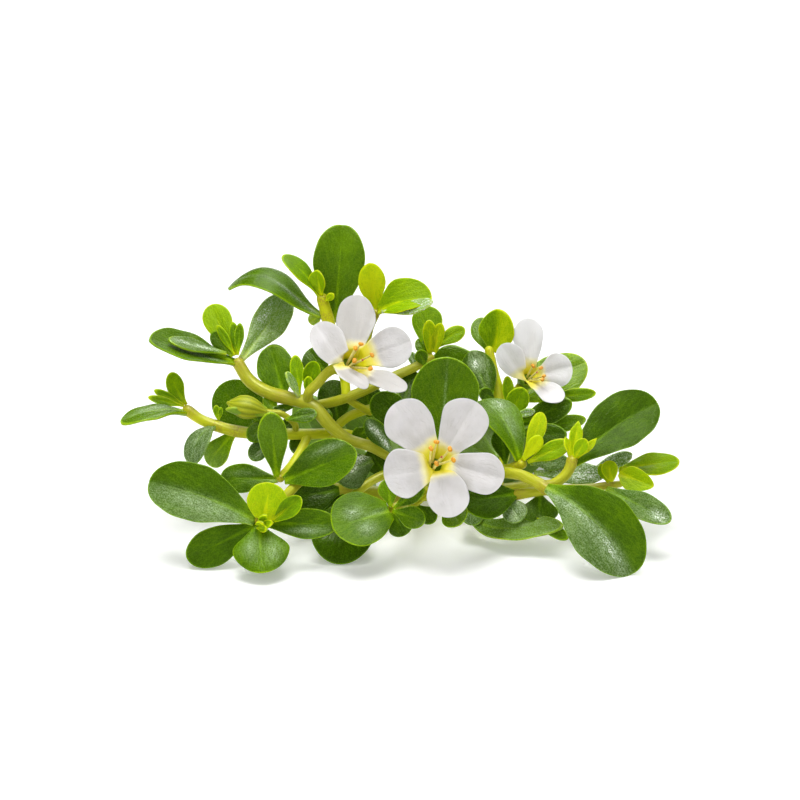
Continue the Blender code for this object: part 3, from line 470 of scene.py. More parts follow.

# Small leaves inside the tangle, in groups. The low tones of the deeper ones are partly old dark leaves and
# partly painted shade.
INNER_LEAVES = {
    "inner_spoon": [
        dict(
            base=(-17.2, 4.6, 1.2), tip=(-23.2, 6.0, 3.6), width=2.0, turn=50, tone=0.3,
            painted_glints=[(0.4, 0.0, 1.8, 0.25, 1.4), (0.8, 0.1, 0.8, 0.2, 1.2)]
        ),
    ],
    "inner_top": [
        dict(base=(-7.6, 8.6, -0.4), tip=(-9.1, 7.8, -1.0), width=1.3, tone=0.82, pale_skin_and_painted_light=0.3),
        dict(
            base=(-2.0, 8.85, 0.5), tip=(3.3, 9.9, 2.5), width=1.6, turn=-30, bow=0.02, sweep=0.06, tone=0.6,
            pale_skin_and_painted_light=0.95
        ),
    ],
    "inner_bud": [
        dict(base=(-11.6, -2.0, 2.8), tip=(-8.3, -1.3, 3.2), width=1.6, turn=-16, tone=0.3),
        dict(base=(-12.2, -1.4, 1.4), tip=(-13.4, 0.5, 1.0), width=1.5, tone=0.5),
        dict(base=(-10.0, -0.5, 1.2), tip=(-13.0, -1.1, 1.4), width=0.9, tone=0.2),
        dict(base=(-13.0, -1.5, 2.0), tip=(-15.1, -4.1, 2.4), width=2.0, tone=0.26),
        dict(base=(-13.0, -3.6, 1.2), tip=(-14.9, -6.0, 1.8), width=1.9, tone=0.2, pale_skin_and_painted_light=0.2),
        dict(base=(-18.2, -2.2, 1.7), tip=(-18.4, -0.5, 1.8), width=0.7, tone=0.5),
        dict(base=(-18.1, -2.2, 1.8), tip=(-17.9, -0.7, 2.0), width=0.5, tone=0.44),
    ],
    "inner_left": [
        dict(
            base=(-2.6, -6.0, 2.0), tip=(-6.6, -7.6, 4.4), width=4.0, shoulder=0.5, tone=0.16, pale_skin_and_painted_light=0.15,
            painted_glints=[(0.3, 0.6, 1.0, 0.4, 1.9), (0.6, 0.0, 0.8, 0.4, 1.6), (0.45, 1.2, 0.6, 0.3, 1.4)]
        ),
        dict(base=(-5.9, -9.0, 3.0), tip=(-11.0, -9.8, 3.8), width=4.2, shoulder=0.5, tone=0.14),
        dict(base=(-11.6, 1.0, -0.9), tip=(-12.9, 5.5, -3.4), width=3.0, tone=0.52),
        dict(base=(-7.2, 2.6, 0.5), tip=(-9.2, 5.0, 0.2), width=2.9, shoulder=0.5, tone=0.22),
    ],
    "inner_gaps": [
        dict(base=(-5.4, -9.4, 2.6), tip=(-8.0, -11.6, 3.0), width=2.6, tone=0.14),
        dict(base=(10.6, -6.6, 1.4), tip=(10.0, -2.8, 0.2), width=2.2, tone=0.18),
        dict(base=(-0.8, -8.2, 0.6), tip=(-3.2, -5.0, 1.0), width=2.6, tone=0.16),
        dict(base=(-6.0, -3.0, -1.4), tip=(-6.9, 2.0, -2.6), width=3.4, tone=0.14),
        dict(base=(-2.6, -2.4, -2.2), tip=(-3.6, 1.6, -3.0), width=3.0, tone=0.2),
        dict(base=(0.2, -0.8, -2.2), tip=(1.3, 3.0, -3.2), width=2.4, tone=0.24),
        dict(base=(6.2, -9.8, 2.6), tip=(7.9, -12.4, 4.0), width=2.4, tone=0.3, pale_skin_and_painted_light=0.3),
        dict(base=(-9.2, -3.6, 0.4), tip=(-10.8, -5.2, 1.0), width=2.0, tone=0.2),
        dict(base=(-12.4, -3.2, 0.6), tip=(-10.4, -2.0, 0.4), width=1.4, tone=0.24),
        dict(base=(12.8, -6.4, 3.4), tip=(16.8, -6.0, 3.4), width=1.8, tone=0.3, pale_skin_and_painted_light=0.5),
    ],
    "inner_junction": [
        dict(base=(-10.0, 0.4, 1.8), tip=(-10.5, 4.5, 1.6), width=1.4, tone=0.62),
        dict(base=(-10.0, 0.1, 2.4), tip=(-11.4, 2.8, 2.7), width=1.5, turn=60, tone=0.5, pale_skin_and_painted_light=0.7),
        dict(base=(-9.4, 0.4, 2.0), tip=(-8.5, 3.9, 2.2), width=1.8, cup=0.5, tone=0.52),
        dict(base=(-9.3, 0.2, 2.4), tip=(-9.1, 2.4, 2.6), width=1.0, cup=0.4, tone=0.6),
        dict(base=(-8.9, -0.4, 2.0), tip=(-6.9, -2.1, 2.2), width=1.6, turn=-20, tone=0.28),
    ],
    "inner_centre": [
        dict(base=(-2.8, -2.6, 1.0), tip=(-4.7, -4.0, 1.6), width=1.6, tone=0.3),
        dict(base=(1.4, -2.8, 1.0), tip=(-2.8, 0.3, 2.2), width=3.4, shoulder=0.5, tone=0.24),
        dict(
            base=(-0.6, -5.5, 3.4), tip=(-3.3, -1.8, 4.6), width=2.3, turn=-24, tone=0.2,
            painted_glints=[(0.45, 0.1, 1.8, 0.3, 2.2), (0.75, -0.2, 0.6, 0.2, 1.6)]
        ),
    ],
    "inner_front_low": [
        dict(base=(4.4, -10.2, 8.2), tip=(6.1, -12.45, 9.5), width=2.9, shoulder=0.5, tone=0.36),
        dict(base=(1.6, -10.4, 6.8), tip=(3.5, -12.2, 7.2), width=1.9, tone=0.22),
    ],
    "inner_upper_centre": [
        dict(base=(2.8, 4.0, -3.6), tip=(1.8, 6.1, -4.2), width=1.3, tone=0.36),
        dict(base=(2.6, 3.2, -2.6), tip=(1.9, 5.0, -2.0), width=1.4, tone=0.34),
        dict(base=(1.6, 2.9, -2.6), tip=(1.1, 4.8, -3.0), width=0.9, tone=0.4, pale_skin_and_painted_light=0.8),
    ],
    "inner_upper_right": [
        dict(base=(8.6, 4.2, -6.0), tip=(3.2, 3.5, -6.8), width=3.6, tone=0.4),
        dict(
            base=(9.1, 0.0, -3.3), tip=(7.0, 4.9, -4.6), width=3.4, cup=-0.3, shoulder=0.7, tone=0.2,
            painted_glints=[(0.72, 0.0, 0.6, 0.5, 1.8)]
        ),
        dict(base=(9.0, 4.6, -6.0), tip=(7.9, 8.2, -7.2), width=2.4, shoulder=0.4, tone=0.4),
        dict(base=(9.7, -0.2, -3.6), tip=(8.0, 1.0, -2.6), width=1.4, tone=0.2),
    ],
    "inner_right_flower": [
        dict(base=(14.4, 0.2, -6.4), tip=(19.6, 0.7, -6.8), width=1.4, tone=0.5),
        dict(base=(11.0, -1.4, -4.4), tip=(10.7, 2.4, -4.0), width=1.2, tone=0.6),
        dict(base=(11.0, -1.6, -4.0), tip=(12.4, 1.2, -3.4), width=2.3, belly=0.5, shoulder=0.3, tone=0.58),
        dict(base=(11.2, -1.6, -3.4), tip=(13.5, -1.1, -3.0), width=0.9, tone=0.5, pale_skin_and_painted_light=0.9),
        dict(base=(11.2, -2.6, -4.2), tip=(17.2, -0.2, -3.4), width=2.5, tone=0.26),
        dict(base=(11.4, -3.2, -3.4), tip=(16.7, -3.5, -1.6), width=2.2, tone=0.2),
        dict(base=(12.4, -3.2, -4.2), tip=(18.6, -1.9, -5.0), width=1.7, tone=0.36),
    ],
    "inner_right": [
        dict(
            base=(13.2, -7.3, 3.2), tip=(20.5, -7.5, 3.4), width=2.5, turn=-24, tone=0.4, pale_skin_and_painted_light=0.8,
            painted_glints=[(0.65, 0.1, 1.8, 0.6, 0.8)]
        ),
        dict(base=(18.6, -7.4, 3.4), tip=(23.2, -5.4, 1.4), width=1.6, tone=0.44, pale_skin_and_painted_light=0.9),
        dict(base=(14.0, -9.4, 4.8), tip=(13.9, -12.3, 5.4), width=3.9, shoulder=0.5, tone=0.18),
        dict(base=(10.6, -9.6, 4.4), tip=(12.0, -12.2, 5.6), width=2.6, shoulder=0.5, tone=0.3, pale_skin_and_painted_light=0.5),
        dict(base=(13.2, -11.6, 5.2), tip=(16.8, -13.9, 6.4), width=1.4, tone=0.4),
    ],
    "inner_back": [
        dict(base=(-7.4, -8.8, -6.2), tip=(-6.0, -2.0, -12.2), width=3.4, turn=180, bow=0.1, tone=0.36),
        dict(base=(-2.6, -9.2, -5.2), tip=(-6.0, -4.4, -12.0), width=3.2, turn=170, bow=0.12, tone=0.3),
        dict(base=(2.6, -9.2, -4.2), tip=(4.6, -1.6, -10.6), width=3.8, turn=190, bow=0.08, tone=0.24),
        dict(base=(6.6, -9.2, -4.2), tip=(7.6, -3.0, -11.6), width=3.4, turn=175, bow=0.12, tone=0.34),
        dict(base=(11.4, -8.8, -6.0), tip=(12.4, -4.6, -13.0), width=3.0, turn=185, bow=0.1, tone=0.4),
        dict(base=(9.9, -6.0, -4.4), tip=(6.6, -1.0, -7.6), width=3.2, turn=180, bow=0.1, tone=0.28),
        dict(base=(-1.8, -4.7, -1.4), tip=(-5.6, 0.0, -6.0), width=3.4, turn=180, bow=0.1, tone=0.26),
        dict(base=(-5.4, -3.4, 0.0), tip=(-9.0, -1.6, -4.6), width=3.0, turn=180, bow=0.1, tone=0.3),
    ],
}

# Each flower: the mouth and the root of its tube, the size of its middle, the way that it faces, its stalk
# with the radius, its lobes, and where its anthers and its stigma stand. On a lobe, silver is painted shade,
# greyer above 0 and whiter below 0.
FLOWERS = {
    "front_flower": dict(
        mouth=(3.9, -6.15, 10.1),
        root=(3.1, -6.9, 8.6),
        size=1.0,
        faces=(0.08, 0.28, 0.95),
        stalk=[
            (3.8, -7.7, 0.2, 0.48),
            (3.9, -6.6, 3.0, 0.50),
            (3.9, -6.3, 5.2, 0.45),
            (3.75, -6.6, 7.4, 0.45),
            (3.6, -6.8, 8.6, 0.50),
        ],
        lobes=[
            dict(
                base=(3.2, -5.3, 10.1), tip=(-0.6, -0.4, 10.0), width=4.9, neck=0.5, shoulder=0.45,
                tone=0.15
            ),
            dict(
                base=(4.6, -5.2, 10.1), tip=(7.65, -0.2, 10.0), width=4.9, neck=0.5, belly=0.6, shoulder=0.4,
                tone=0.7
            ),
            dict(
                base=(3.0, -6.8, 11.1), tip=(-1.6, -7.6, 11.3), width=5.0, neck=0.6, belly=0.55, shoulder=0.8,
                tone=0.5
            ),
            dict(
                base=(4.1, -7.1, 11.2), tip=(5.3, -11.7, 12.1), width=4.25, neck=0.6, belly=0.52,
                shoulder=0.8, tone=0.7
            ),
            dict(
                base=(5.0, -6.4, 10.2), tip=(10.4, -7.9, 11.2), width=4.2, neck=0.56, belly=0.6, shoulder=0.7,
                tone=0.75
            ),
        ],
        anthers=[(3.65, -4.2), (3.1, -4.85), (5.0, -4.9), (5.35, -6.0), (3.65, -6.35)],
        stigma=(4.15, -5.7),
    ),
    "left_flower": dict(
        mouth=(-4.8, 3.9, 4.5),
        root=(-5.5, 3.2, 3.1),
        size=0.95,
        faces=(0.38, 0.50, 0.78),
        stalk=[
            (-9.1, 0.8, 3.0, 0.50),
            (-8.2, 1.7, 3.0, 0.50),
            (-7.4, 2.6, 2.9, 0.50),
            (-6.6, 3.1, 2.8, 0.55),
            (-5.8, 3.0, 3.0, 0.60),
        ],
        lobes=[
            dict(
                base=(-4.6, 4.7, 4.3), tip=(-4.25, 10.5, 2.8), width=3.95, belly=0.54, shoulder=0.5,
                pale_skin_and_painted_light=0.9
            ),
            dict(
                base=(-5.9, 3.9, 5.1), tip=(-8.4, 7.6, 4.1), width=3.4, neck=0.72, belly=0.5, shoulder=0.9,
                tone=0.9
            ),
            dict(
                base=(-6.2, 3.5, 4.9), tip=(-3.3, 1.15, 7.2), width=3.0, turn=-58, bow=0.03, sweep=0.08,
                neck=0.6, belly=0.55, shoulder=0.8, tone=0.4, pale_skin_and_painted_light=0.5
            ),
            dict(
                base=(-4.4, 3.0, 4.7), tip=(0.6, 0.95, 7.0), width=2.7, turn=-46, neck=0.6, belly=0.6,
                shoulder=0.4, tone=-0.1, pale_skin_and_painted_light=0.9
            ),
            dict(
                base=(-4.0, 4.1, 4.5), tip=(1.1, 5.9, 4.2), width=4.1, shoulder=0.4, tone=-0.3, pale_skin_and_painted_light=-0.3
            ),
        ],
        anthers=[(-3.9, 5.6), (-4.45, 5.2), (-2.8, 4.5), (-2.95, 3.15), (-4.55, 3.95)],
        stigma=(-3.75, 4.0),
    ),
    "right_flower": dict(
        mouth=(13.1, 2.5, -4.5),
        root=(12.5, 1.8, -5.5),
        size=0.8,
        faces=(0.50, 0.45, 0.74),
        stalk=[
            (11.5, -0.6, -5.0, 0.42),
            (11.6, 0.3, -5.3, 0.42),
            (11.9, 1.1, -5.6, 0.45),
            (12.3, 1.7, -5.5, 0.50),
        ],
        lobes=[
            dict(
                base=(12.95, 3.4, -4.7), tip=(12.75, 8.2, -4.4), width=3.05, neck=0.5, shoulder=0.7,
                tone=0.7, pale_skin_and_painted_light=-1.2
            ),
            dict(
                base=(12.1, 2.5, -4.1), tip=(10.1, 5.5, -3.0), width=2.9, turn=10, neck=0.6, belly=0.5,
                shoulder=0.9, tone=0.7, pale_skin_and_painted_light=-1.2
            ),
            dict(
                base=(13.9, 2.6, -4.6), tip=(17.2, 3.4, -5.0), width=3.4, belly=0.5, shoulder=0.6,
                tone=0.7, pale_skin_and_painted_light=-0.8
            ),
            dict(
                base=(13.2, 1.7, -4.0), tip=(16.2, -0.1, -2.8), width=3.0, turn=-48, neck=0.55, shoulder=0.4,
                pale_skin_and_painted_light=-0.8
            ),
        ],
        anthers=[(13.3, 3.4), (14.1, 3.2), (14.4, 2.4), (14.25, 2.05)],
        stigma=(13.7, 2.75),
    ),
}

# Along the way that a flower faces: how far from its throat, and the radius there
CALYX = [(-2.0, 0.62), (-1.6, 0.86), (-1.2, 1.0), (-0.8, 1.08)]

# A petal's claw is its share of the flower's tube: how deep, from 0 at the mouth to 1 at the root, and the
# radius
CLAW = [(0.97, 0.24), (0.72, 0.5), (0.46, 0.72), (0.22, 0.9), (0.04, 1.1)]
CLAW_STEPS = 4
ANTHER_RISE = 2.5
STIGMA_RISE = 1.8

# The closed bud: places along its middle with the radius, and its stalk
BUD = [
    (-17.15, -0.3, 2.4, 0.2),
    (-16.95, -0.36, 2.4, 0.46),
    (-16.5, -0.5, 2.4, 0.8),
    (-15.9, -0.6, 2.4, 1.03),
    (-15.3, -0.72, 2.4, 1.1),
    (-14.7, -0.85, 2.4, 0.98),
    (-14.1, -1.0, 2.4, 0.72),
    (-13.5, -1.2, 2.4, 0.42),
]
BUD_STALK = [
    (-13.9, -1.1, 2.4, 0.4),
    (-13.0, -1.25, 2.4, 0.33),
    (-11.8, -1.4, 2.4, 0.31),
    (-10.6, -2.3, 1.8, 0.33),
    (-10.4, -3.0, 1.3, 0.33),
]
BUD_RIBS = 11

# Colours as red, green and blue from 0 to 255. A leaf's tone picks a place on the first list.
LEAF_TONES = [(38, 62, 3), (70, 104, 5), (106, 146, 6), (152, 188, 6), (204, 218, 14)]
# The silvery pale of the skin mixed with painted sheen, and the white of painted glints
LEAF_SILVER_AND_PAINTED_SHEEN = (172, 194, 148)
PAINTED_GLINT_WHITE = (240, 244, 236)
LEAF_UNDERSIDE = (124, 156, 62)
STEM_COLOURS = [(128, 136, 18), (178, 180, 40), (220, 216, 96)]
YOUNG_STEM_COLOURS = [(184, 194, 12), (214, 220, 24), (238, 238, 70)]
STEM_NODE = (150, 118, 46)
# Petal white, then the greys of veins, soft patches and painted shade
PETAL_WHITES = [(234, 232, 233), (212, 209, 209), (188, 185, 181)]
# From the root of a flower's tube to its petals, evenly spaced from 2 mm below the mouth to 1 mm beyond it
THROAT_COLOURS = [
    (190, 196, 14), (212, 210, 20), (228, 220, 34), (240, 225, 84), (234, 226, 170), (212, 209, 209)
]
FILAMENT_COLOURS = [(206, 192, 74), (240, 230, 160)]
ANTHER_COLOURS = [(218, 134, 0), (250, 184, 6)]
STIGMA = (176, 62, 38)
BUD_COLOURS = [(108, 130, 8), (188, 192, 36)]


def in_frame(places):
    """The points of the frame, in metres, at places that the viewer sees."""
    across, up, toward = np.moveaxis(np.asarray(places, float), -1, 0)
    nearness = 1.0 - toward / VIEW_DISTANCE
    across, up = across * nearness, up * nearness
    back = up * math.sin(VIEW_TILT) - toward * math.cos(VIEW_TILT)
    height = up * math.cos(VIEW_TILT) + toward * math.sin(VIEW_TILT)
    points = np.stack([across - MIDDLE_ACROSS, back - MIDDLE_BACK, height + MIDDLE_HEIGHT], axis=-1)
    return points * MILLIMETRE


def unit(vectors):
    """Vectors of length one along the last axis."""
    vectors = np.asarray(vectors, float)
    return vectors / np.linalg.norm(vectors, axis=-1, keepdims=True)


def seeded(name):
    """A random generator that gives the same numbers for a name at each run."""
    return np.random.default_rng(zlib.crc32(name.encode()))


def smooth_run(points, steps):
    """Points on a smooth curve through the given ones, with their radii."""
    points = np.asarray(points, float)
    padded = np.vstack([2 * points[0] - points[1], points, 2 * points[-1] - points[-2]])
    run = []
    for before, start, end, after in zip(padded, padded[1:], padded[2:], padded[3:]):
        for t in np.arange(steps) / steps:
            run.append(
                0.5
                * (
                    2 * start
                    + (end - before) * t
                    + (2 * before - 5 * start + 4 * end - after) * t**2
                    + (3 * start - before - 3 * end + after) * t**3
                )
            )
    run.append(points[-1])
    return np.array(run)


def skin(rings, values, ends=(None, None), look=0):
    """A closed part over rings of places. values holds named numbers for each point of each ring, and ends
    the places of its two end points, which are otherwise in the middle of the first and last ring."""
    count, sides = rings.shape[:2]
    places = rings.reshape(-1, 3)
    numbers = {name: value.reshape(count * sides, -1) for name, value in values.items()}
    for ring, end in ((0, ends[0]), (count - 1, ends[1])):
        members = slice(ring * sides, (ring + 1) * sides)
        middle = places[members].mean(0) if end is None else np.asarray(end, float)
        places = np.vstack([places, middle])
        numbers = {name: np.vstack([value, value[members].mean(0)]) for name, value in numbers.items()}
    k = np.arange(sides)
    after = (k + 1) % sides
    faces = []
    for ring in range(count - 1):
        near, far = ring * sides, (ring + 1) * sides
        faces += np.stack([near + k, far + k, far + after, near + after], axis=1).tolist()
    first, last = count * sides, count * sides + 1
    faces += np.stack([k, after, np.full(sides, first)], axis=1).tolist()
    faces += np.stack([last - 1 - sides + after, last - 1 - sides + k, np.full(sides, last)], axis=1).tolist()
    points = in_frame(places)
    fans = [(face[0], b, c) for face in faces for b, c in zip(face[1:], face[2:])]
    a, b, c = (points[list(corner)] - points.mean(0) for corner in zip(*fans))
    if np.einsum("ij,ij->", a, np.cross(b, c)) < 0:
        faces = [face[::-1] for face in faces]
    return dict(points=points, faces=faces, numbers=numbers, look=look)


def outline(share, belly, neck, shoulder):
    """How far along a blade its rows lie, and their half widths: a rise to the belly, then a round tip."""
    t = np.clip(share / 0.5, 0, 1)
    spatulate = t * t * (3 - 2 * t)
    rise = spatulate + shoulder * (np.sin(t * np.pi / 2) - spatulate)
    angle = np.clip(share - 0.5, 0, 1) * np.pi
    along = np.where(share <= 0.5, belly * t, belly + (1 - belly) * np.sin(angle))
    return along, np.where(share <= 0.5, neck + (1 - neck) * rise, np.cos(angle))


def blade(
    name,
    base,
    tip,
    width,
    turn=0.0,
    bow=0.0,
    late=0.0,
    sweep=0.0,
    cup=0.1,
    belly=0.6,
    neck=0.2,
    shoulder=0.0,
    start=ROOT,
    tone=0.3,
    pale_skin_and_painted_light=0.0,
    painted_sheen_left=0.0,
    painted_glints=(),
    left_painted_shade=0.0,
    right=1.0,
    notch=0.0,
    wave=0.09,
    groove=0.11,
    pleats=0.0,
    ruffle=0.012,
    fold=0.0,
    point=0.0,
    claw=None,
    thickness=LEAF_THICKNESS,
    fine=True,
    face=None,
    look=0,
):
    """A leaf, petal or sepal: a closed blade with a rounded rim, a sunken midrib and slightly wavy edges."""
    chance = seeded(name)
    base, tip = np.array(base, float), np.array(tip, float)
    chord = tip - base
    length = np.linalg.norm(chord)
    forward = chord / length
    face = np.array((0, 0, 1) if face is None else face, float)
    face = unit(face - face.dot(forward) * forward)
    angle = math.radians(turn)
    face = face * math.cos(angle) + np.cross(forward, face) * math.sin(angle)
    side = np.cross(forward, face)
    pull = 4 * length * (bow * face + sweep * side)

    rows = FINE_ROWS if fine else SMALL_ROWS
    share = np.arange(rows) / rows
    along, half = outline(share, belly, neck, shoulder)
    half = half * (1 - point * np.sin(np.clip(share - 0.5, 0, 1) * np.pi) ** 2)
    share, half = share[:, None], half[:, None]
    first = start / length
    s = (first + (1 - first) * along)[:, None]
    middle = base + s * chord + s * (1 - s) * (1 + late * (2 * s - 1)) * pull
    ahead = unit(chord + ((1 - 2 * s) * (1 + late * (2 * s - 1)) + 2 * late * s * (1 - s)) * pull)
    across = unit(side - (ahead @ side)[:, None] * ahead)
    up = np.cross(across, ahead)

    positive = np.array(FINE_ACROSS if fine else SMALL_ACROSS, float)
    top = np.concatenate([positive, -positive[-2::-1]])
    u = np.concatenate([top, top[-2:0:-1]])
    over = np.concatenate([np.ones(len(top)), -np.ones(len(top) - 2)])
    over[np.abs(u) == 1] = 0
    swell = (1 - np.abs(u) ** 2.4) ** (1 / 2.4) * over

    lopsided = (1 + 0.035 * chance.uniform(-1, 1) * np.sign(u)) * np.where(u > 0, right, 1.0)
    ripple = 1 + ruffle * np.sin(s * length * 2.1 + chance.uniform(0, 6) + 2 * np.sign(u))
    reach = half * width / 2 * lopsided * ripple
    x = reach * u
    size = np.abs(u)
    taper = np.where(share > 0.5, 0.35 + 0.65 * half**0.5, 1.0)
    sunk = groove * np.exp(-((x / (0.2 + 0.03 * width)) ** 2)) * (1 - s) ** 0.6
    phase = chance.uniform(0, 6, 2)
    wavy = np.sin(s * length / (0.42 + 0.05 * width) + np.where(u > 0, phase[0], phase[1]))
    quilt = np.sin(2 * np.pi * (s * length - 0.7 * np.abs(x)) / (0.55 + 0.09 * width))
    lift = (
        cup * reach * size**2
        + fold * (np.sqrt(x**2 + 0.03) - 0.17)
        + thickness / 2 * swell * taper
        - sunk * (1 + 0.4 * (over < 0))
        + 0.035 * reach * np.sin(np.pi * size) * (over > 0)
        + 0.03 * np.exp(-(((1 - size) * reach / 0.2) ** 2)) * (over > 0)
        + wave * wavy * size**3 * np.sin(np.pi * s)
        + 0.1 * groove * quilt * np.sin(np.pi * size) * np.sin(np.pi * s)
        + pleats * np.cos(u * 6 + phase[0]) * np.sin(np.pi * np.clip(s, 0, 1)) ** 2
    )
    back = notch * np.exp(-((x / 0.55) ** 2)) * np.clip((share - 0.75) / 0.25, 0, 1) ** 2
    rings = middle[:, None] + x[..., None] * across[:, None] + lift[..., None] * up[:, None]
    rings = rings - back[..., None] * ahead[:, None]

    radial = np.sqrt(np.sin(np.clip(share - 0.5, 0, 1) * np.pi) ** 2 + (u * half) ** 2)
    rim = np.where(share > 0.5, (1 - radial) * width / 2, reach * (1 - size))
    spread = np.ones_like(x)
    # The left half, where gleam adds painted sheen and split paints shade
    left = np.clip(0.5 - 1.3 * x, 0, 1)
    # Paler skin, partly painted sheen, with glints of painted highlight; on a petal, painted shade
    pale = pale_skin_and_painted_light + painted_sheen_left * left
    for share_along, off_middle, long, wide, strength in painted_glints:
        apart = ((s - share_along) * length / long) ** 2 + ((x - off_middle) / wide) ** 2
        pale = pale + strength * np.exp(-apart) * (over > 0)
    values = dict(
        blade=np.stack([x, s * length * spread, rim], axis=-1),
        tint=np.stack([tone - left_painted_shade * left, pale, s * spread], axis=-1),
        upper=(0.5 + 0.5 * over) * spread,
        fan=u * spread,
        depth=(s * length - start) * spread,
    )
    if claw:
        rings, values = with_claw(rings, values, claw, u, thickness / 2 * swell, across[0])
    return skin(rings, values, ends=(None, tip - notch * ahead[-1]), look=look)


def with_claw(rings, values, claw, u, swell, across):
    """A petal's rings and values with its claw before them, down the wall of the flower's tube."""
    beside = np.cross(claw["axis"], claw["outward"])
    turn = np.sign(beside @ across)
    reach = np.where(u * turn > 0, claw["after"], claw["before"])
    angle = u * turn * reach
    around = np.cos(angle)[:, None] * claw["outward"] + np.sin(angle)[:, None] * beside
    keys = []
    for share, radius in CLAW:
        wall = claw["size"] * radius * (1 + 0.1 * u**2) - swell
        keys.append(claw["mouth"] + share * (claw["root"] - claw["mouth"]) + wall[:, None] * around)
    keys = np.array([*keys, rings[0], rings[3]])
    count = len(CLAW) * CLAW_STEPS
    run = smooth_run(keys.reshape(len(keys), -1), CLAW_STEPS)[:count].reshape(count, -1, 3)
    steps = np.linalg.norm(np.diff(np.vstack([run.mean(1), rings[:1].mean(1)]), axis=0), axis=1)
    depth = -np.cumsum(steps[::-1])[::-1]
    extended = {
        key: np.concatenate([np.repeat(value[:1], count, axis=0), value]) for key, value in values.items()
    }
    extended["depth"][:count] = depth[:, None]
    return np.concatenate([run, rings]), extended


NODES = np.array(
    [leaf["base"] for leaf in LEAVES.values()] + [group[0]["base"] for group in SHOOT_TIPS.values()]
)


def tube(points, sides=STEM_SIDES, steps=STEM_STEPS, look=0, youth=0.0, ribs=0.0, rib_count=0):
    """A stem along a smooth run of places with radii, a little swollen and tinted where leaves leave it,
    with rounded ends."""
    run = smooth_run(points, steps)
    middles, radii = run[:, :3], run[:, 3]
    ahead = unit(np.gradient(middles, axis=0))
    dome = np.array([0.98, 0.86, 0.6, 0.25])[:, None]
    small = np.array([0.2, 0.51, 0.8, 0.97])
    middles = np.vstack(
        [middles[0] - radii[0] * dome * ahead[0], middles, middles[-1] + radii[-1] * dome[::-1] * ahead[-1]]
    )
    radii = np.concatenate([radii[0] * small, radii, radii[-1] * small[::-1]])
    ahead = np.vstack([np.repeat(ahead[:1], 4, axis=0), ahead, np.repeat(ahead[-1:], 4, axis=0)])
    away = np.linalg.norm(middles[:, None] - NODES[None], axis=2).min(1)
    node = np.exp(-((away / 0.8) ** 2))
    travelled = np.concatenate([[0], np.cumsum(np.linalg.norm(np.diff(middles, axis=0), axis=1))])
    turn = np.arange(sides) * 2 * np.pi / sides
    side = unit(np.cross(ahead[0], (0.3, 0.5, 0.81)))
    rings = []
    for i, middle in enumerate(middles):
        side = unit(side - side.dot(ahead[i]) * ahead[i])
        other = np.cross(ahead[i], side)
        uneven = 1 + 0.02 * np.sin(2 * turn + travelled[i] * 0.2) + 0.012 * np.sin(travelled[i] * 1.3)
        uneven = uneven + ribs * np.abs(np.cos(turn * rib_count / 2))
        radius = (radii[i] * (1 + 0.09 * node[i]) * uneven)[:, None]
        rings.append(middle + radius * (np.cos(turn)[:, None] * side + np.sin(turn)[:, None] * other))
    rings = np.array(rings)
    spread = np.ones(rings.shape[:2])
    values = dict(
        grain=np.stack(
            [np.cos(turn) * spread, np.sin(turn) * spread, 0.22 * travelled[:, None] * spread], axis=-1
        ),
        node=node[:, None] * spread,
        youth=youth * spread,
        fan=np.abs(np.cos(turn * max(rib_count, 1) / 2)) * spread,
    )
    return skin(rings, values, look=look)


def turned(centre, axis, profile, size=1.0, sides=28, look=0, lobes=0.0, lobe_count=5, tone=0.45):
    """A part turned about an axis, from a profile of distances along it and radii."""
    axis = unit(axis)
    side = unit(np.cross(axis, (0.2, 0.9, 0.1)))
    other = np.cross(axis, side)
    turn = np.arange(sides) * 2 * np.pi / sides
    around = np.cos(turn)[:, None] * side + np.sin(turn)[:, None] * other
    uneven = 1 + lobes * np.cos(turn * lobe_count)
    rings = np.array(
        [
            np.asarray(centre) + size * (along * axis + radius * uneven[:, None] * around)
            for along, radius in profile
        ]
    )
    spread = np.ones(rings.shape[:2])
    along = np.array([along for along, _ in profile])[:, None] * spread
    values = dict(
        grain=np.stack([np.cos(turn) * spread, np.sin(turn) * spread, 0.3 * along], axis=-1),
        tint=np.stack([tone * spread, 0 * spread, 0.5 * spread], axis=-1),
        blade=np.stack([spread, along, spread], axis=-1),
        upper=spread,
    )
    return skin(rings, values, look=look)


def piece(name, parts, looks, nodes=()):
    """One shown mesh made of parts. It rides on the plant and stands for the named solids."""
    points = np.vstack([part["points"] for part in parts])
    points[:, 2] = np.maximum(points[:, 2], 0.0)
    faces, shades = [], []
    offset = 0
    for part in parts:
        faces += [[corner + offset for corner in face] for face in part["faces"]]
        shades += [part["look"]] * len(part["faces"])
        offset += len(part["points"])
    mesh = bpy.data.meshes.new(name)
    mesh.from_pydata(points.tolist(), [], faces)
    mesh.polygons.foreach_set("material_index", shades)
    mesh.shade_smooth()
    widths = {key: value.shape[1] for part in parts for key, value in part["numbers"].items()}
    for key, width in widths.items():
        numbers = np.vstack(
            [part["numbers"].get(key, np.zeros((len(part["points"]), width))) for part in parts]
        )
        kind, field = ("FLOAT_VECTOR", "vector") if width == 3 else ("FLOAT", "value")
        mesh.attributes.new(key, kind, "POINT").data.foreach_set(field, numbers.astype(np.float32).ravel())
    for look in looks:
        mesh.materials.append(look)
    made = bpy.data.objects.new(name, mesh)
    bpy.context.scene.collection.objects.link(made)
    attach(made, "root")
    if nodes:
        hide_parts(*nodes)
    return made


def linear(colour):
    """The shader's colour for red, green and blue from 0 to 255."""
    shares = [channel / 255 for channel in colour]
    return (*(c / 12.92 if c <= 0.04045 else ((c + 0.055) / 1.055) ** 2.4 for c in shares), 1.0)


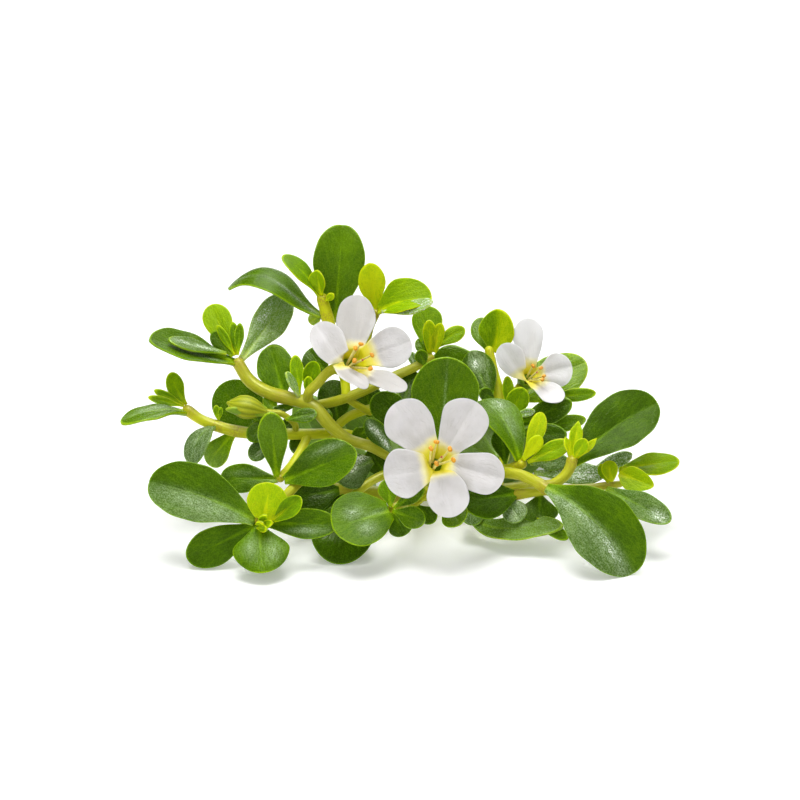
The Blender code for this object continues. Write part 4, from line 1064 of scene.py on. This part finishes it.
class Look:
    """A material whose colour, roughness and bump come from nodes."""

    def __init__(self, name, **steady):
        self.material = bpy.data.materials.new(name)
        self.material.use_nodes = True
        self.tree = self.material.node_tree
        self.shader = self.tree.nodes["Principled BSDF"]
        for socket, value in steady.items():
            self.shader.inputs[socket.replace("_", " ")].default_value = value

    def node(self, kind, **settings):
        made = self.tree.nodes.new(kind)
        for key, value in settings.items():
            setattr(made, key, value)
        return made

    def feed(self, socket, value):
        if isinstance(value, bpy.types.NodeSocket):
            self.tree.links.new(value, socket)
        else:
            socket.default_value = value

    def math(self, operation, *values):
        made = self.node("ShaderNodeMath", operation=operation)
        for socket, value in zip(made.inputs, values):
            self.feed(socket, value)
        return made.outputs[0]

    def span(self, value, low, high, start=0.0, end=1.0):
        """The value's place between low and high, eased, as a number from start to end."""
        made = self.node("ShaderNodeMapRange", interpolation_type="SMOOTHSTEP")
        for socket, number in zip(made.inputs, (value, low, high, start, end)):
            self.feed(socket, number)
        return made.outputs[0]

    def mix(self, share, first, second):
        made = self.node("ShaderNodeMix", data_type="RGBA")
        for socket, value in zip((made.inputs[0], made.inputs[6], made.inputs[7]), (share, first, second)):
            self.feed(socket, value)
        return made.outputs[2]

    def ramp(self, value, colours):
        """Colours laid evenly from 0 to 1."""
        made = self.node("ShaderNodeValToRGB")
        elements = made.color_ramp.elements
        while len(elements) < len(colours):
            elements.new(0.5)
        for place, (element, colour) in enumerate(zip(elements, colours)):
            element.position = place / (len(colours) - 1)
            element.color = linear(colour)
        self.feed(made.inputs[0], value)
        return made.outputs[0]

    def places(self):
        """The surface's own place, in millimetres."""
        where = self.node("ShaderNodeTexCoord").outputs["Object"]
        made = self.node("ShaderNodeVectorMath", operation="SCALE")
        self.feed(made.inputs[0], where)
        made.inputs["Scale"].default_value = 1 / MILLIMETRE
        return made.outputs[0]

    def noise(self, where, size, detail=2.0):
        made = self.node("ShaderNodeTexNoise")
        self.feed(made.inputs["Vector"], where)
        made.inputs["Scale"].default_value = 1 / size
        made.inputs["Detail"].default_value = detail
        return made.outputs["Fac"]

    def attribute(self, name):
        return self.node("ShaderNodeAttribute", attribute_name=name)

    def three(self, name):
        """The three numbers of a vector attribute."""
        made = self.node("ShaderNodeSeparateXYZ")
        self.feed(made.inputs[0], self.attribute(name).outputs["Vector"])
        return made.outputs[:3]

    def finish(self, colour, roughness, height, depth):
        """Feeds the shader. depth is the bump's, in millimetres."""
        self.feed(self.shader.inputs["Base Color"], colour)
        self.feed(self.shader.inputs["Roughness"], roughness)
        bump = self.node("ShaderNodeBump")
        bump.inputs["Distance"].default_value = depth * MILLIMETRE
        self.feed(bump.inputs["Height"], height)
        self.feed(self.shader.inputs["Normal"], bump.outputs[0])
        return self.material


def leaf_look(name, shine, softness, gloss):
    """Green leaf skin. The tone attribute sets how dark it is; midrib, veins, specks and painted rim glow
    shift it.
    """
    look = Look(
        name,
        Specular_IOR_Level=shine,
        Specular_Tint=(0.9, 1.0, 0.65, 1.0),
        Subsurface_Weight=softness,
        Subsurface_Radius=(0.6, 1.0, 0.05),
        Subsurface_Scale=0.0005,
    )
    x, travelled, rim = look.three("blade")
    tone, pale_skin_and_painted_light, share = look.three("tint")
    upper = look.attribute("upper").outputs["Fac"]
    where = look.places()
    patches = look.noise(where, 2.2, 2)
    grains = look.noise(where, 0.13, 2)
    fibres = look.node("ShaderNodeCombineXYZ")
    look.feed(fibres.inputs[0], look.math("MULTIPLY", x, 5.0))
    look.feed(fibres.inputs[1], travelled)
    look.feed(fibres.inputs[2], look.math("MULTIPLY", tone, 9.0))
    fibres = look.noise(fibres.outputs[0], 0.7, 3)
    specks = look.span(grains, 0.35, 0.65)
    offset = look.math("ABSOLUTE", x)
    # Painted light glowing through the thin rim: paler and yellower within 0.14 mm of the edge
    painted_rim_glow = look.span(rim, 0.02, 0.14, 1, 0)
    rib_width = look.span(share, 0.0, 0.8, 0.36, 0.08)
    at_rib = look.span(look.math("DIVIDE", offset, rib_width), 0.2, 1.0, 1, 0)
    at_rib = look.math("MULTIPLY", at_rib, look.span(share, 0.3, 0.95, 1, 0.1))
    slant = look.math("SUBTRACT", offset, look.math("MULTIPLY", travelled, 0.42))
    bent = look.math("MULTIPLY_ADD", patches, 0.8, slant)
    vein = look.math("ABSOLUTE", look.math("COSINE", look.math("MULTIPLY", bent, 4.6)))
    vein = look.math("MULTIPLY", look.math("POWER", vein, 16.0), look.span(rim, 0.15, 0.7))
    shift = tone
    for amount, value in (
        (0.3, look.math("SUBTRACT", patches, 0.5)),
        (0.22, look.math("SUBTRACT", fibres, 0.5)),
        (0.1, look.math("SUBTRACT", specks, 0.5)),
        (0.34, painted_rim_glow),
        (0.2, at_rib),
        (0.05, vein),
        (0.24, look.span(share, 0.0, 0.22, 1, 0)),
    ):
        shift = look.math("MULTIPLY_ADD", value, amount, shift)
    colour = look.ramp(shift, LEAF_TONES)
    below = look.math("MULTIPLY", look.math("SUBTRACT", 1.0, upper), 0.45)
    colour = look.mix(below, colour, linear(LEAF_UNDERSIDE))
    # Painted sheen: silver, flecked by specks and fibres, turns the skin silvery pale and then glint white
    painted_glitter = look.math("MULTIPLY_ADD", specks, 0.75, 0.25)
    painted_glitter = look.math("MULTIPLY", painted_glitter, look.span(fibres, 0.38, 0.6, 0.6, 1.2))
    pale_and_painted_sheen = look.math("MULTIPLY", pale_skin_and_painted_light, painted_glitter)
    colour = look.mix(pale_and_painted_sheen, colour, linear(LEAF_SILVER_AND_PAINTED_SHEEN))
    colour = look.mix(look.span(pale_and_painted_sheen, 0.6, 1.5), colour, linear(PAINTED_GLINT_WHITE))
    roughness = look.math("MULTIPLY_ADD", look.math("SUBTRACT", specks, 0.5), 0.12, gloss)
    roughness = look.math("MULTIPLY_ADD", below, 0.3, roughness)
    height = look.math("MULTIPLY_ADD", grains, 0.8, look.math("MULTIPLY", fibres, 1.1))
    height = look.math("MULTIPLY_ADD", vein, -0.12, height)
    return look.finish(colour, roughness, height, 0.07)


def stem_look():
    look = Look(
        "stem_skin",
        Specular_IOR_Level=0.25,
        Specular_Tint=(1.0, 1.0, 0.6, 1.0),
        Subsurface_Weight=0.3,
        Subsurface_Radius=(1.0, 1.0, 0.1),
        Subsurface_Scale=0.0008,
    )
    grain = look.attribute("grain").outputs["Vector"]
    node = look.attribute("node").outputs["Fac"]
    where = look.places()
    streaks = look.noise(grain, 0.3, 3)
    patches = look.noise(where, 2.2, 2)
    specks = look.noise(where, 0.14, 2)
    tone = look.math("MULTIPLY_ADD", streaks, 0.6, look.math("MULTIPLY", patches, 0.6))
    tone = look.math("SUBTRACT", tone, 0.1)
    tone = look.math("MULTIPLY_ADD", look.math("SUBTRACT", specks, 0.5), 0.25, tone)
    youth = look.attribute("youth").outputs["Fac"]
    colour = look.mix(youth, look.ramp(tone, STEM_COLOURS), look.ramp(tone, YOUNG_STEM_COLOURS))
    tinted = look.math("MULTIPLY", node, look.span(specks, 0.35, 0.65, 0.1, 0.7))
    colour = look.mix(tinted, colour, linear(STEM_NODE))
    roughness = look.math("MULTIPLY_ADD", specks, 0.25, 0.28)
    height = look.math("MULTIPLY_ADD", streaks, 0.6, look.math("MULTIPLY", specks, 0.5))
    return look.finish(colour, roughness, height, 0.03)


def petal_look():
    """White with faint uneven creases, greyed by veins, patches and painted shade near the tube, yellow to
    green down it.
    """
    look = Look(
        "petal_white",
        Specular_IOR_Level=0.25,
        Subsurface_Weight=0.3,
        Subsurface_Radius=(1.0, 0.95, 0.9),
        Subsurface_Scale=0.0006,
    )
    rim = look.three("blade")[2]
    whiter, lobe_painted_shade, _ = look.three("tint")
    depth = look.attribute("depth").outputs["Fac"]
    fan = look.attribute("fan").outputs["Fac"]
    where = look.places()
    patches = look.noise(where, 1.5, 2)
    broken = look.noise(where, 0.7, 2)
    specks = look.noise(where, 0.12, 2)
    lines = look.math("COSINE", look.math("MULTIPLY", look.math("MULTIPLY_ADD", patches, 0.5, fan), 17.0))
    vein = look.math("POWER", look.math("ABSOLUTE", lines), 8.0)
    vein = look.math("MULTIPLY", vein, look.span(broken, 0.45, 0.7))
    vein = look.math("MULTIPLY", vein, look.span(rim, 0.1, 1.0))
    # Grey of veins and soft patches, plus painted shade deepening toward the tube, fading out at the rim;
    # greyer adds each lobe's painted shade
    vein_and_painted_grey = look.math("MULTIPLY_ADD", vein, 0.34, look.span(patches, 0.35, 0.7, 0.0, 0.36))
    vein_and_painted_grey = look.math("ADD", vein_and_painted_grey, look.span(depth, 0.5, 3.0, 0.4, 0.0))
    vein_and_painted_grey = look.math("MULTIPLY", vein_and_painted_grey, look.span(rim, 0.0, 0.25))
    vein_and_painted_grey = look.math("ADD", vein_and_painted_grey, lobe_painted_shade)
    white = look.ramp(look.math("MULTIPLY_ADD", vein_and_painted_grey, 0.5, 0.5), PETAL_WHITES)
    reach = look.math("SUBTRACT", depth, 0.12)
    reach = look.math("MULTIPLY_ADD", look.math("SUBTRACT", whiter, 0.3), 1.2, reach)
    reach = look.math("MULTIPLY_ADD", look.math("SUBTRACT", patches, 0.5), 0.8, reach)
    reach = look.math("MULTIPLY_ADD", look.math("SUBTRACT", specks, 0.5), 0.3, reach)
    throat = look.ramp(look.math("MULTIPLY_ADD", reach, 1 / 3, 2 / 3), THROAT_COLOURS)
    colour = look.mix(look.span(reach, 0.3, 1.1), throat, white)
    roughness = look.math("MULTIPLY_ADD", specks, 0.2, 0.45)
    height = look.math("MULTIPLY_ADD", vein, -0.25, look.math("MULTIPLY_ADD", specks, 0.25, broken))
    return look.finish(colour, roughness, height, 0.05)


def plain_look(name, colours, size, gloss, depth=0.04, softness=0.1, streaky=False):
    """A speckled skin between two colours, streaked along the part where it is asked for."""
    look = Look(name, Subsurface_Weight=softness, Subsurface_Radius=(1.0, 0.8, 0.3), Subsurface_Scale=0.0004)
    where = look.attribute("grain").outputs["Vector"] if streaky else look.places()
    broad = look.noise(where, size, 3)
    specks = look.noise(look.places(), 0.1, 2)
    tone = look.math("MULTIPLY_ADD", look.math("SUBTRACT", broad, 0.5), 1.6, 0.5)
    tone = look.math("MULTIPLY_ADD", look.math("SUBTRACT", specks, 0.5), 0.5, tone)
    roughness = look.math("MULTIPLY_ADD", specks, 0.25, gloss)
    height = look.math("ADD", broad, look.math("MULTIPLY", specks, 0.5))
    return look.finish(look.ramp(tone, colours), roughness, height, depth)


def bud_look():
    """Pale ribs over greener furrows."""
    look = Look(
        "bud_skin",
        Specular_IOR_Level=0.25,
        Specular_Tint=(1.0, 1.0, 0.6, 1.0),
        Subsurface_Weight=0.2,
        Subsurface_Radius=(0.8, 1.0, 0.1),
        Subsurface_Scale=0.0005,
    )
    fan = look.attribute("fan").outputs["Fac"]
    grain = look.attribute("grain").outputs["Vector"]
    streaks = look.noise(grain, 0.3, 3)
    specks = look.noise(look.places(), 0.13, 2)
    tone = look.math("MULTIPLY_ADD", fan, 0.55, look.math("MULTIPLY", streaks, 0.5))
    tone = look.math("MULTIPLY_ADD", look.math("SUBTRACT", specks, 0.5), 0.3, tone)
    roughness = look.math("MULTIPLY_ADD", specks, 0.25, 0.33)
    height = look.math("ADD", streaks, specks)
    return look.finish(look.ramp(tone, BUD_COLOURS), roughness, height, 0.04)


def sepals(name, centre, axis, low, high, inner, outer, width, count, tone, look, tips=0.0):
    """Sepals round an axis, from one height and radius to another, each lapping over the next."""
    axis = unit(axis)
    side = unit(np.cross(axis, (0.2, 0.9, 0.1)))
    other = np.cross(axis, side)
    made = []
    for number in range(count):
        angle = 2 * np.pi * number / count + 0.35
        outward = math.cos(angle) * side + math.sin(angle) * other
        base = np.asarray(centre) + low * axis + inner * outward
        tip = np.asarray(centre) + (high + tips * (number % 2)) * axis + outer * outward
        made.append(
            blade(
                f"{name}_sepal_{number}", base, tip, width, face=-outward, cup=0.45, bow=-0.07, belly=0.5,
                neck=0.5, shoulder=0.6, start=0.0, tone=tone, thickness=0.2, groove=0.04, wave=0.03,
                fine=False, look=look,
            )
        )
    return made


def anther(name, place, axis, size, look):
    """A grainy anther with two lobes, lying across its filament."""
    chance = seeded(name)
    lie = unit(np.cross(axis, chance.normal(size=3)))
    profile = [
        (-0.27, 0.06), (-0.22, 0.15), (-0.1, 0.21), (0.02, 0.2), (0.12, 0.21), (0.22, 0.15), (0.27, 0.06)
    ]
    part = turned(place, lie, profile, size, sides=12, look=look, lobes=0.12, lobe_count=2)
    part["points"] = part["points"] + chance.normal(0, 0.018 * MILLIMETRE, part["points"].shape)
    return part


def build_leaves(leaf, dull, young):
    for name, spec in LEAVES.items():
        is_young = name in YOUNG_LEAVES
        look = young if is_young else dull if name in DULL_LEAVES else leaf
        piece(name + "_fine", [blade(name, **spec)], [look], [name])


def build_small_leaves(leaf, young):
    for groups, replace in ((SHOOT_TIPS, True), (INNER_LEAVES, False)):
        for name, members in groups.items():
            parts = [
                blade(
                    f"{name}_{number}",
                    **spec,
                    thickness=SMALL_LEAF_THICKNESS,
                    fine=False,
                    wave=0.05,
                    groove=0.07,
                    look=int(spec["tone"] > 0.45),
                )
                for number, spec in enumerate(members)
            ]
            piece(name + "_leaves", parts, [leaf, young], [name] if replace else [])


def seated(name, points):
    """The places of a stem or stalk, and one in the stem that it grows out of."""
    return [*SEATS_BEFORE.get(name, []), *points, *SEATS_AFTER.get(name, [])]


def build_stems(stem):
    for name, points in STEMS.items():
        runs = [seated(name, points), *TWIGS.get(name, [])]
        parts = [tube(run, youth=YOUTH.get(name, 0.2)) for run in runs]
        piece(name + "_fine", parts, [stem], [name])


def claws(flower):
    """Each lobe's claw: where it stands round the tube, and how far it reaches to both its neighbours."""
    axis, mouth, root = unit(flower["faces"]), np.array(flower["mouth"]), np.array(flower["root"])
    side = unit(np.cross(axis, (0.2, 0.9, 0.1)))
    other = np.cross(axis, side)
    away = [np.array(lobe["base"]) - mouth for lobe in flower["lobes"]]
    angles = np.array([math.atan2(offset @ other, offset @ side) for offset in away])
    made = []
    for offset, angle in zip(away, angles):
        gaps = np.sort((angles - angle) % (2 * np.pi))[1:]
        made.append(
            dict(
                axis=axis, mouth=mouth, root=root, size=flower["size"],
                outward=unit(offset - offset.dot(axis) * axis),
                after=0.6 * gaps[0], before=0.6 * (2 * np.pi - gaps[-1]),
            )
        )
    return made


def build_flower(name, stem, leaf, petal, filament, pollen, stigma):
    flower = FLOWERS[name]
    mouth, axis, size = np.array(flower["mouth"]), unit(flower["faces"]), flower["size"]
    root = np.array(flower["root"])
    parts = [
        tube(seated(name, flower["stalk"])),
        turned(mouth, axis, CALYX, size, look=1, lobes=0.04),
        *sepals(name, mouth, axis, -2.1 * size, -0.3 * size, 0.6 * size, 1.4 * size, 1.5 * size, 5, 0.5, 1),
    ]
    piece(name + "_stalk_fine", parts, [stem, leaf], [name + "_stalk"])
    corolla = [name + "_corolla"]
    for number, (lobe, claw) in enumerate(zip(flower["lobes"], claws(flower)), 1):
        look_of = dict(neck=0.46, start=0.45 * size, groove=0.03, wave=0.12, pleats=0.05, ruffle=0.025)
        part = blade(f"{name}_lobe_{number}", **{**look_of, **lobe}, claw=claw, thickness=PETAL_THICKNESS)
        piece(f"{name}_petal_{number}", [part], [petal], corolla)
    parts = []
    for number, (across, up) in enumerate(flower["anthers"]):
        top = np.array([across, up, mouth[2] + ANTHER_RISE * size * axis[2] + 0.15 * math.sin(5 * number)])
        aside = np.cross(axis, (math.cos(2.5 * number), math.sin(2.5 * number), 0.1))
        foot = root + 0.3 * size * unit(top - root) + 0.18 * size * unit(aside)
        middle = (top + foot) / 2 + 0.12 * size * unit(foot - root)
        run = [(*foot, 0.15 * size), (*middle, 0.125 * size), (*top, 0.09 * size)]
        parts.append(tube(run, sides=12, steps=8))
        parts.append(anther(f"{name}_anther_{number}", top, axis, 1.05 * size, 1))
    top = np.array([*flower["stigma"], mouth[2] + STIGMA_RISE * size * axis[2]])
    run = [(*root, 0.12 * size), (*((top + root) / 2), 0.09 * size), (*top, 0.08 * size)]
    parts.append(tube(run, sides=10, steps=6))
    knob = [(-0.1, 0.04), (-0.06, 0.1), (0.02, 0.13), (0.08, 0.09), (0.11, 0.03)]
    parts.append(turned(top, axis, knob, size, sides=12, look=2))
    ovary = [(-0.3, 0.1), (-0.2, 0.26), (0.0, 0.36), (0.2, 0.34), (0.42, 0.2), (0.5, 0.08)]
    parts.append(turned(root, axis, ovary, size, sides=20, look=3, tone=0.95))
    piece(name + "_stamens", parts, [filament, pollen, stigma, leaf], corolla)


def build_bud(bud, stem, leaf):
    body = tube(BUD, sides=66, steps=4, ribs=0.07, rib_count=BUD_RIBS)
    axis = unit(np.array(BUD[0][:3]) - np.array(BUD[-1][:3]))
    centre = np.array(BUD[-1][:3])
    parts = [body, tube(BUD_STALK, look=1)]
    parts += sepals("bud", centre, axis, -0.1, 2.6, 0.3, 0.95, 1.2, 3, 0.55, 2, tips=1.3)
    piece("flower_bud_fine", parts, [bud, stem, leaf], ["flower_bud"])


def build_plant():
    leaf = leaf_look("leaf_skin", 0.22, 0.08, 0.24)
    dull = leaf_look("dull_leaf_skin", 0.08, 0.08, 0.3)
    young = leaf_look("young_leaf_skin", 0.08, 0.3, 0.4)
    stem = stem_look()
    petal = petal_look()
    filament = plain_look("filament_skin", FILAMENT_COLOURS, 0.3, 0.4)
    pollen = plain_look("anther_grains", ANTHER_COLOURS, 0.12, 0.6, depth=0.08)
    stigma = plain_look("stigma_skin", [STIGMA, (210, 110, 60)], 0.1, 0.5)
    build_leaves(leaf, dull, young)
    build_small_leaves(leaf, young)
    build_stems(stem)
    for name in FLOWERS:
        build_flower(name, stem, leaf, petal, filament, pollen, stigma)
    build_bud(bud_look(), stem, leaf)


def area_light(name, size, watts, place, gloss):
    """A soft light that aims at the plant, for the skins' gloss or for all the rest."""
    data = bpy.data.lights.new(name, "AREA")
    data.shape = "RECTANGLE"
    data.size, data.size_y = size
    data.energy = watts
    made = bpy.data.objects.new(name, data)
    made.location = place
    made.visible_diffuse = not gloss
    made.visible_glossy = gloss
    made.rotation_euler = (Vector((0, 0, 0.01)) - Vector(place)).to_track_quat("-Z", "Y").to_euler()
    bpy.context.scene.collection.objects.link(made)


def build_studio():
    """A pale floor, soft light from above and behind with a fill from the front left, and a white sky."""
    mesh = bpy.data.meshes.new("floor")
    mesh.from_pydata([(-3, -3, 0), (3, -3, 0), (3, 3, 0), (-3, 3, 0)], [], [(0, 1, 2, 3)])
    floor = bpy.data.objects.new("floor", mesh)
    look = bpy.data.materials.new("floor_white")
    look.use_nodes = True
    shader = look.node_tree.nodes["Principled BSDF"]
    shader.inputs["Base Color"].default_value = (0.9, 0.9, 0.9, 1)
    shader.inputs["Emission Color"].default_value = (1, 1, 1, 1)
    shader.inputs["Emission Strength"].default_value = 0.2
    shader.inputs["Roughness"].default_value = 0.9
    shader.inputs["Specular IOR Level"].default_value = 0.1
    mesh.materials.append(look)
    bpy.context.scene.collection.objects.link(floor)
    world = bpy.data.worlds.new("sky")
    world.use_nodes = True
    world.node_tree.nodes["Background"].inputs["Color"].default_value = (1, 1, 1, 1)
    world.node_tree.nodes["Background"].inputs["Strength"].default_value = 0.34
    world.cycles_visibility.glossy = False
    bpy.context.scene.world = world
    area_light("key", (0.24, 0.2), 1.3, (-0.02, 0.03, 0.36), gloss=False)
    area_light("fill", (0.4, 0.4), 0.55, (-0.2, -0.3, 0.28), gloss=False)
    area_light("sheen_front", (0.2, 0.09), 3.6, (0.02, -0.07, 0.36), gloss=True)
    area_light("sheen_back", (0.12, 0.1), 1.2, (0.05, 0.26, 0.26), gloss=True)
    bpy.context.scene.view_settings.view_transform = "Standard"


def build_camera():
    """The viewer's eye, straight above the middle of the view along the view's tilt."""
    data = bpy.data.cameras.new("viewer")
    data.lens = 180
    data.sensor_width = 36
    data.clip_start = 0.01
    toward = Vector((0, -math.cos(VIEW_TILT), math.sin(VIEW_TILT)))
    middle = Vector((-MIDDLE_ACROSS, -MIDDLE_BACK, MIDDLE_HEIGHT)) * MILLIMETRE
    right = Vector((0, 0, 1)).cross(toward).normalized()
    axes = Matrix((right, toward.cross(right), toward)).transposed().to_4x4()
    camera = bpy.data.objects.new("viewer", data)
    camera.matrix_world = Matrix.Translation(middle + toward * VIEW_DISTANCE * MILLIMETRE) @ axes
    bpy.context.scene.collection.objects.link(camera)
    bpy.context.scene.camera = camera


build_plant()
build_studio()
build_camera()
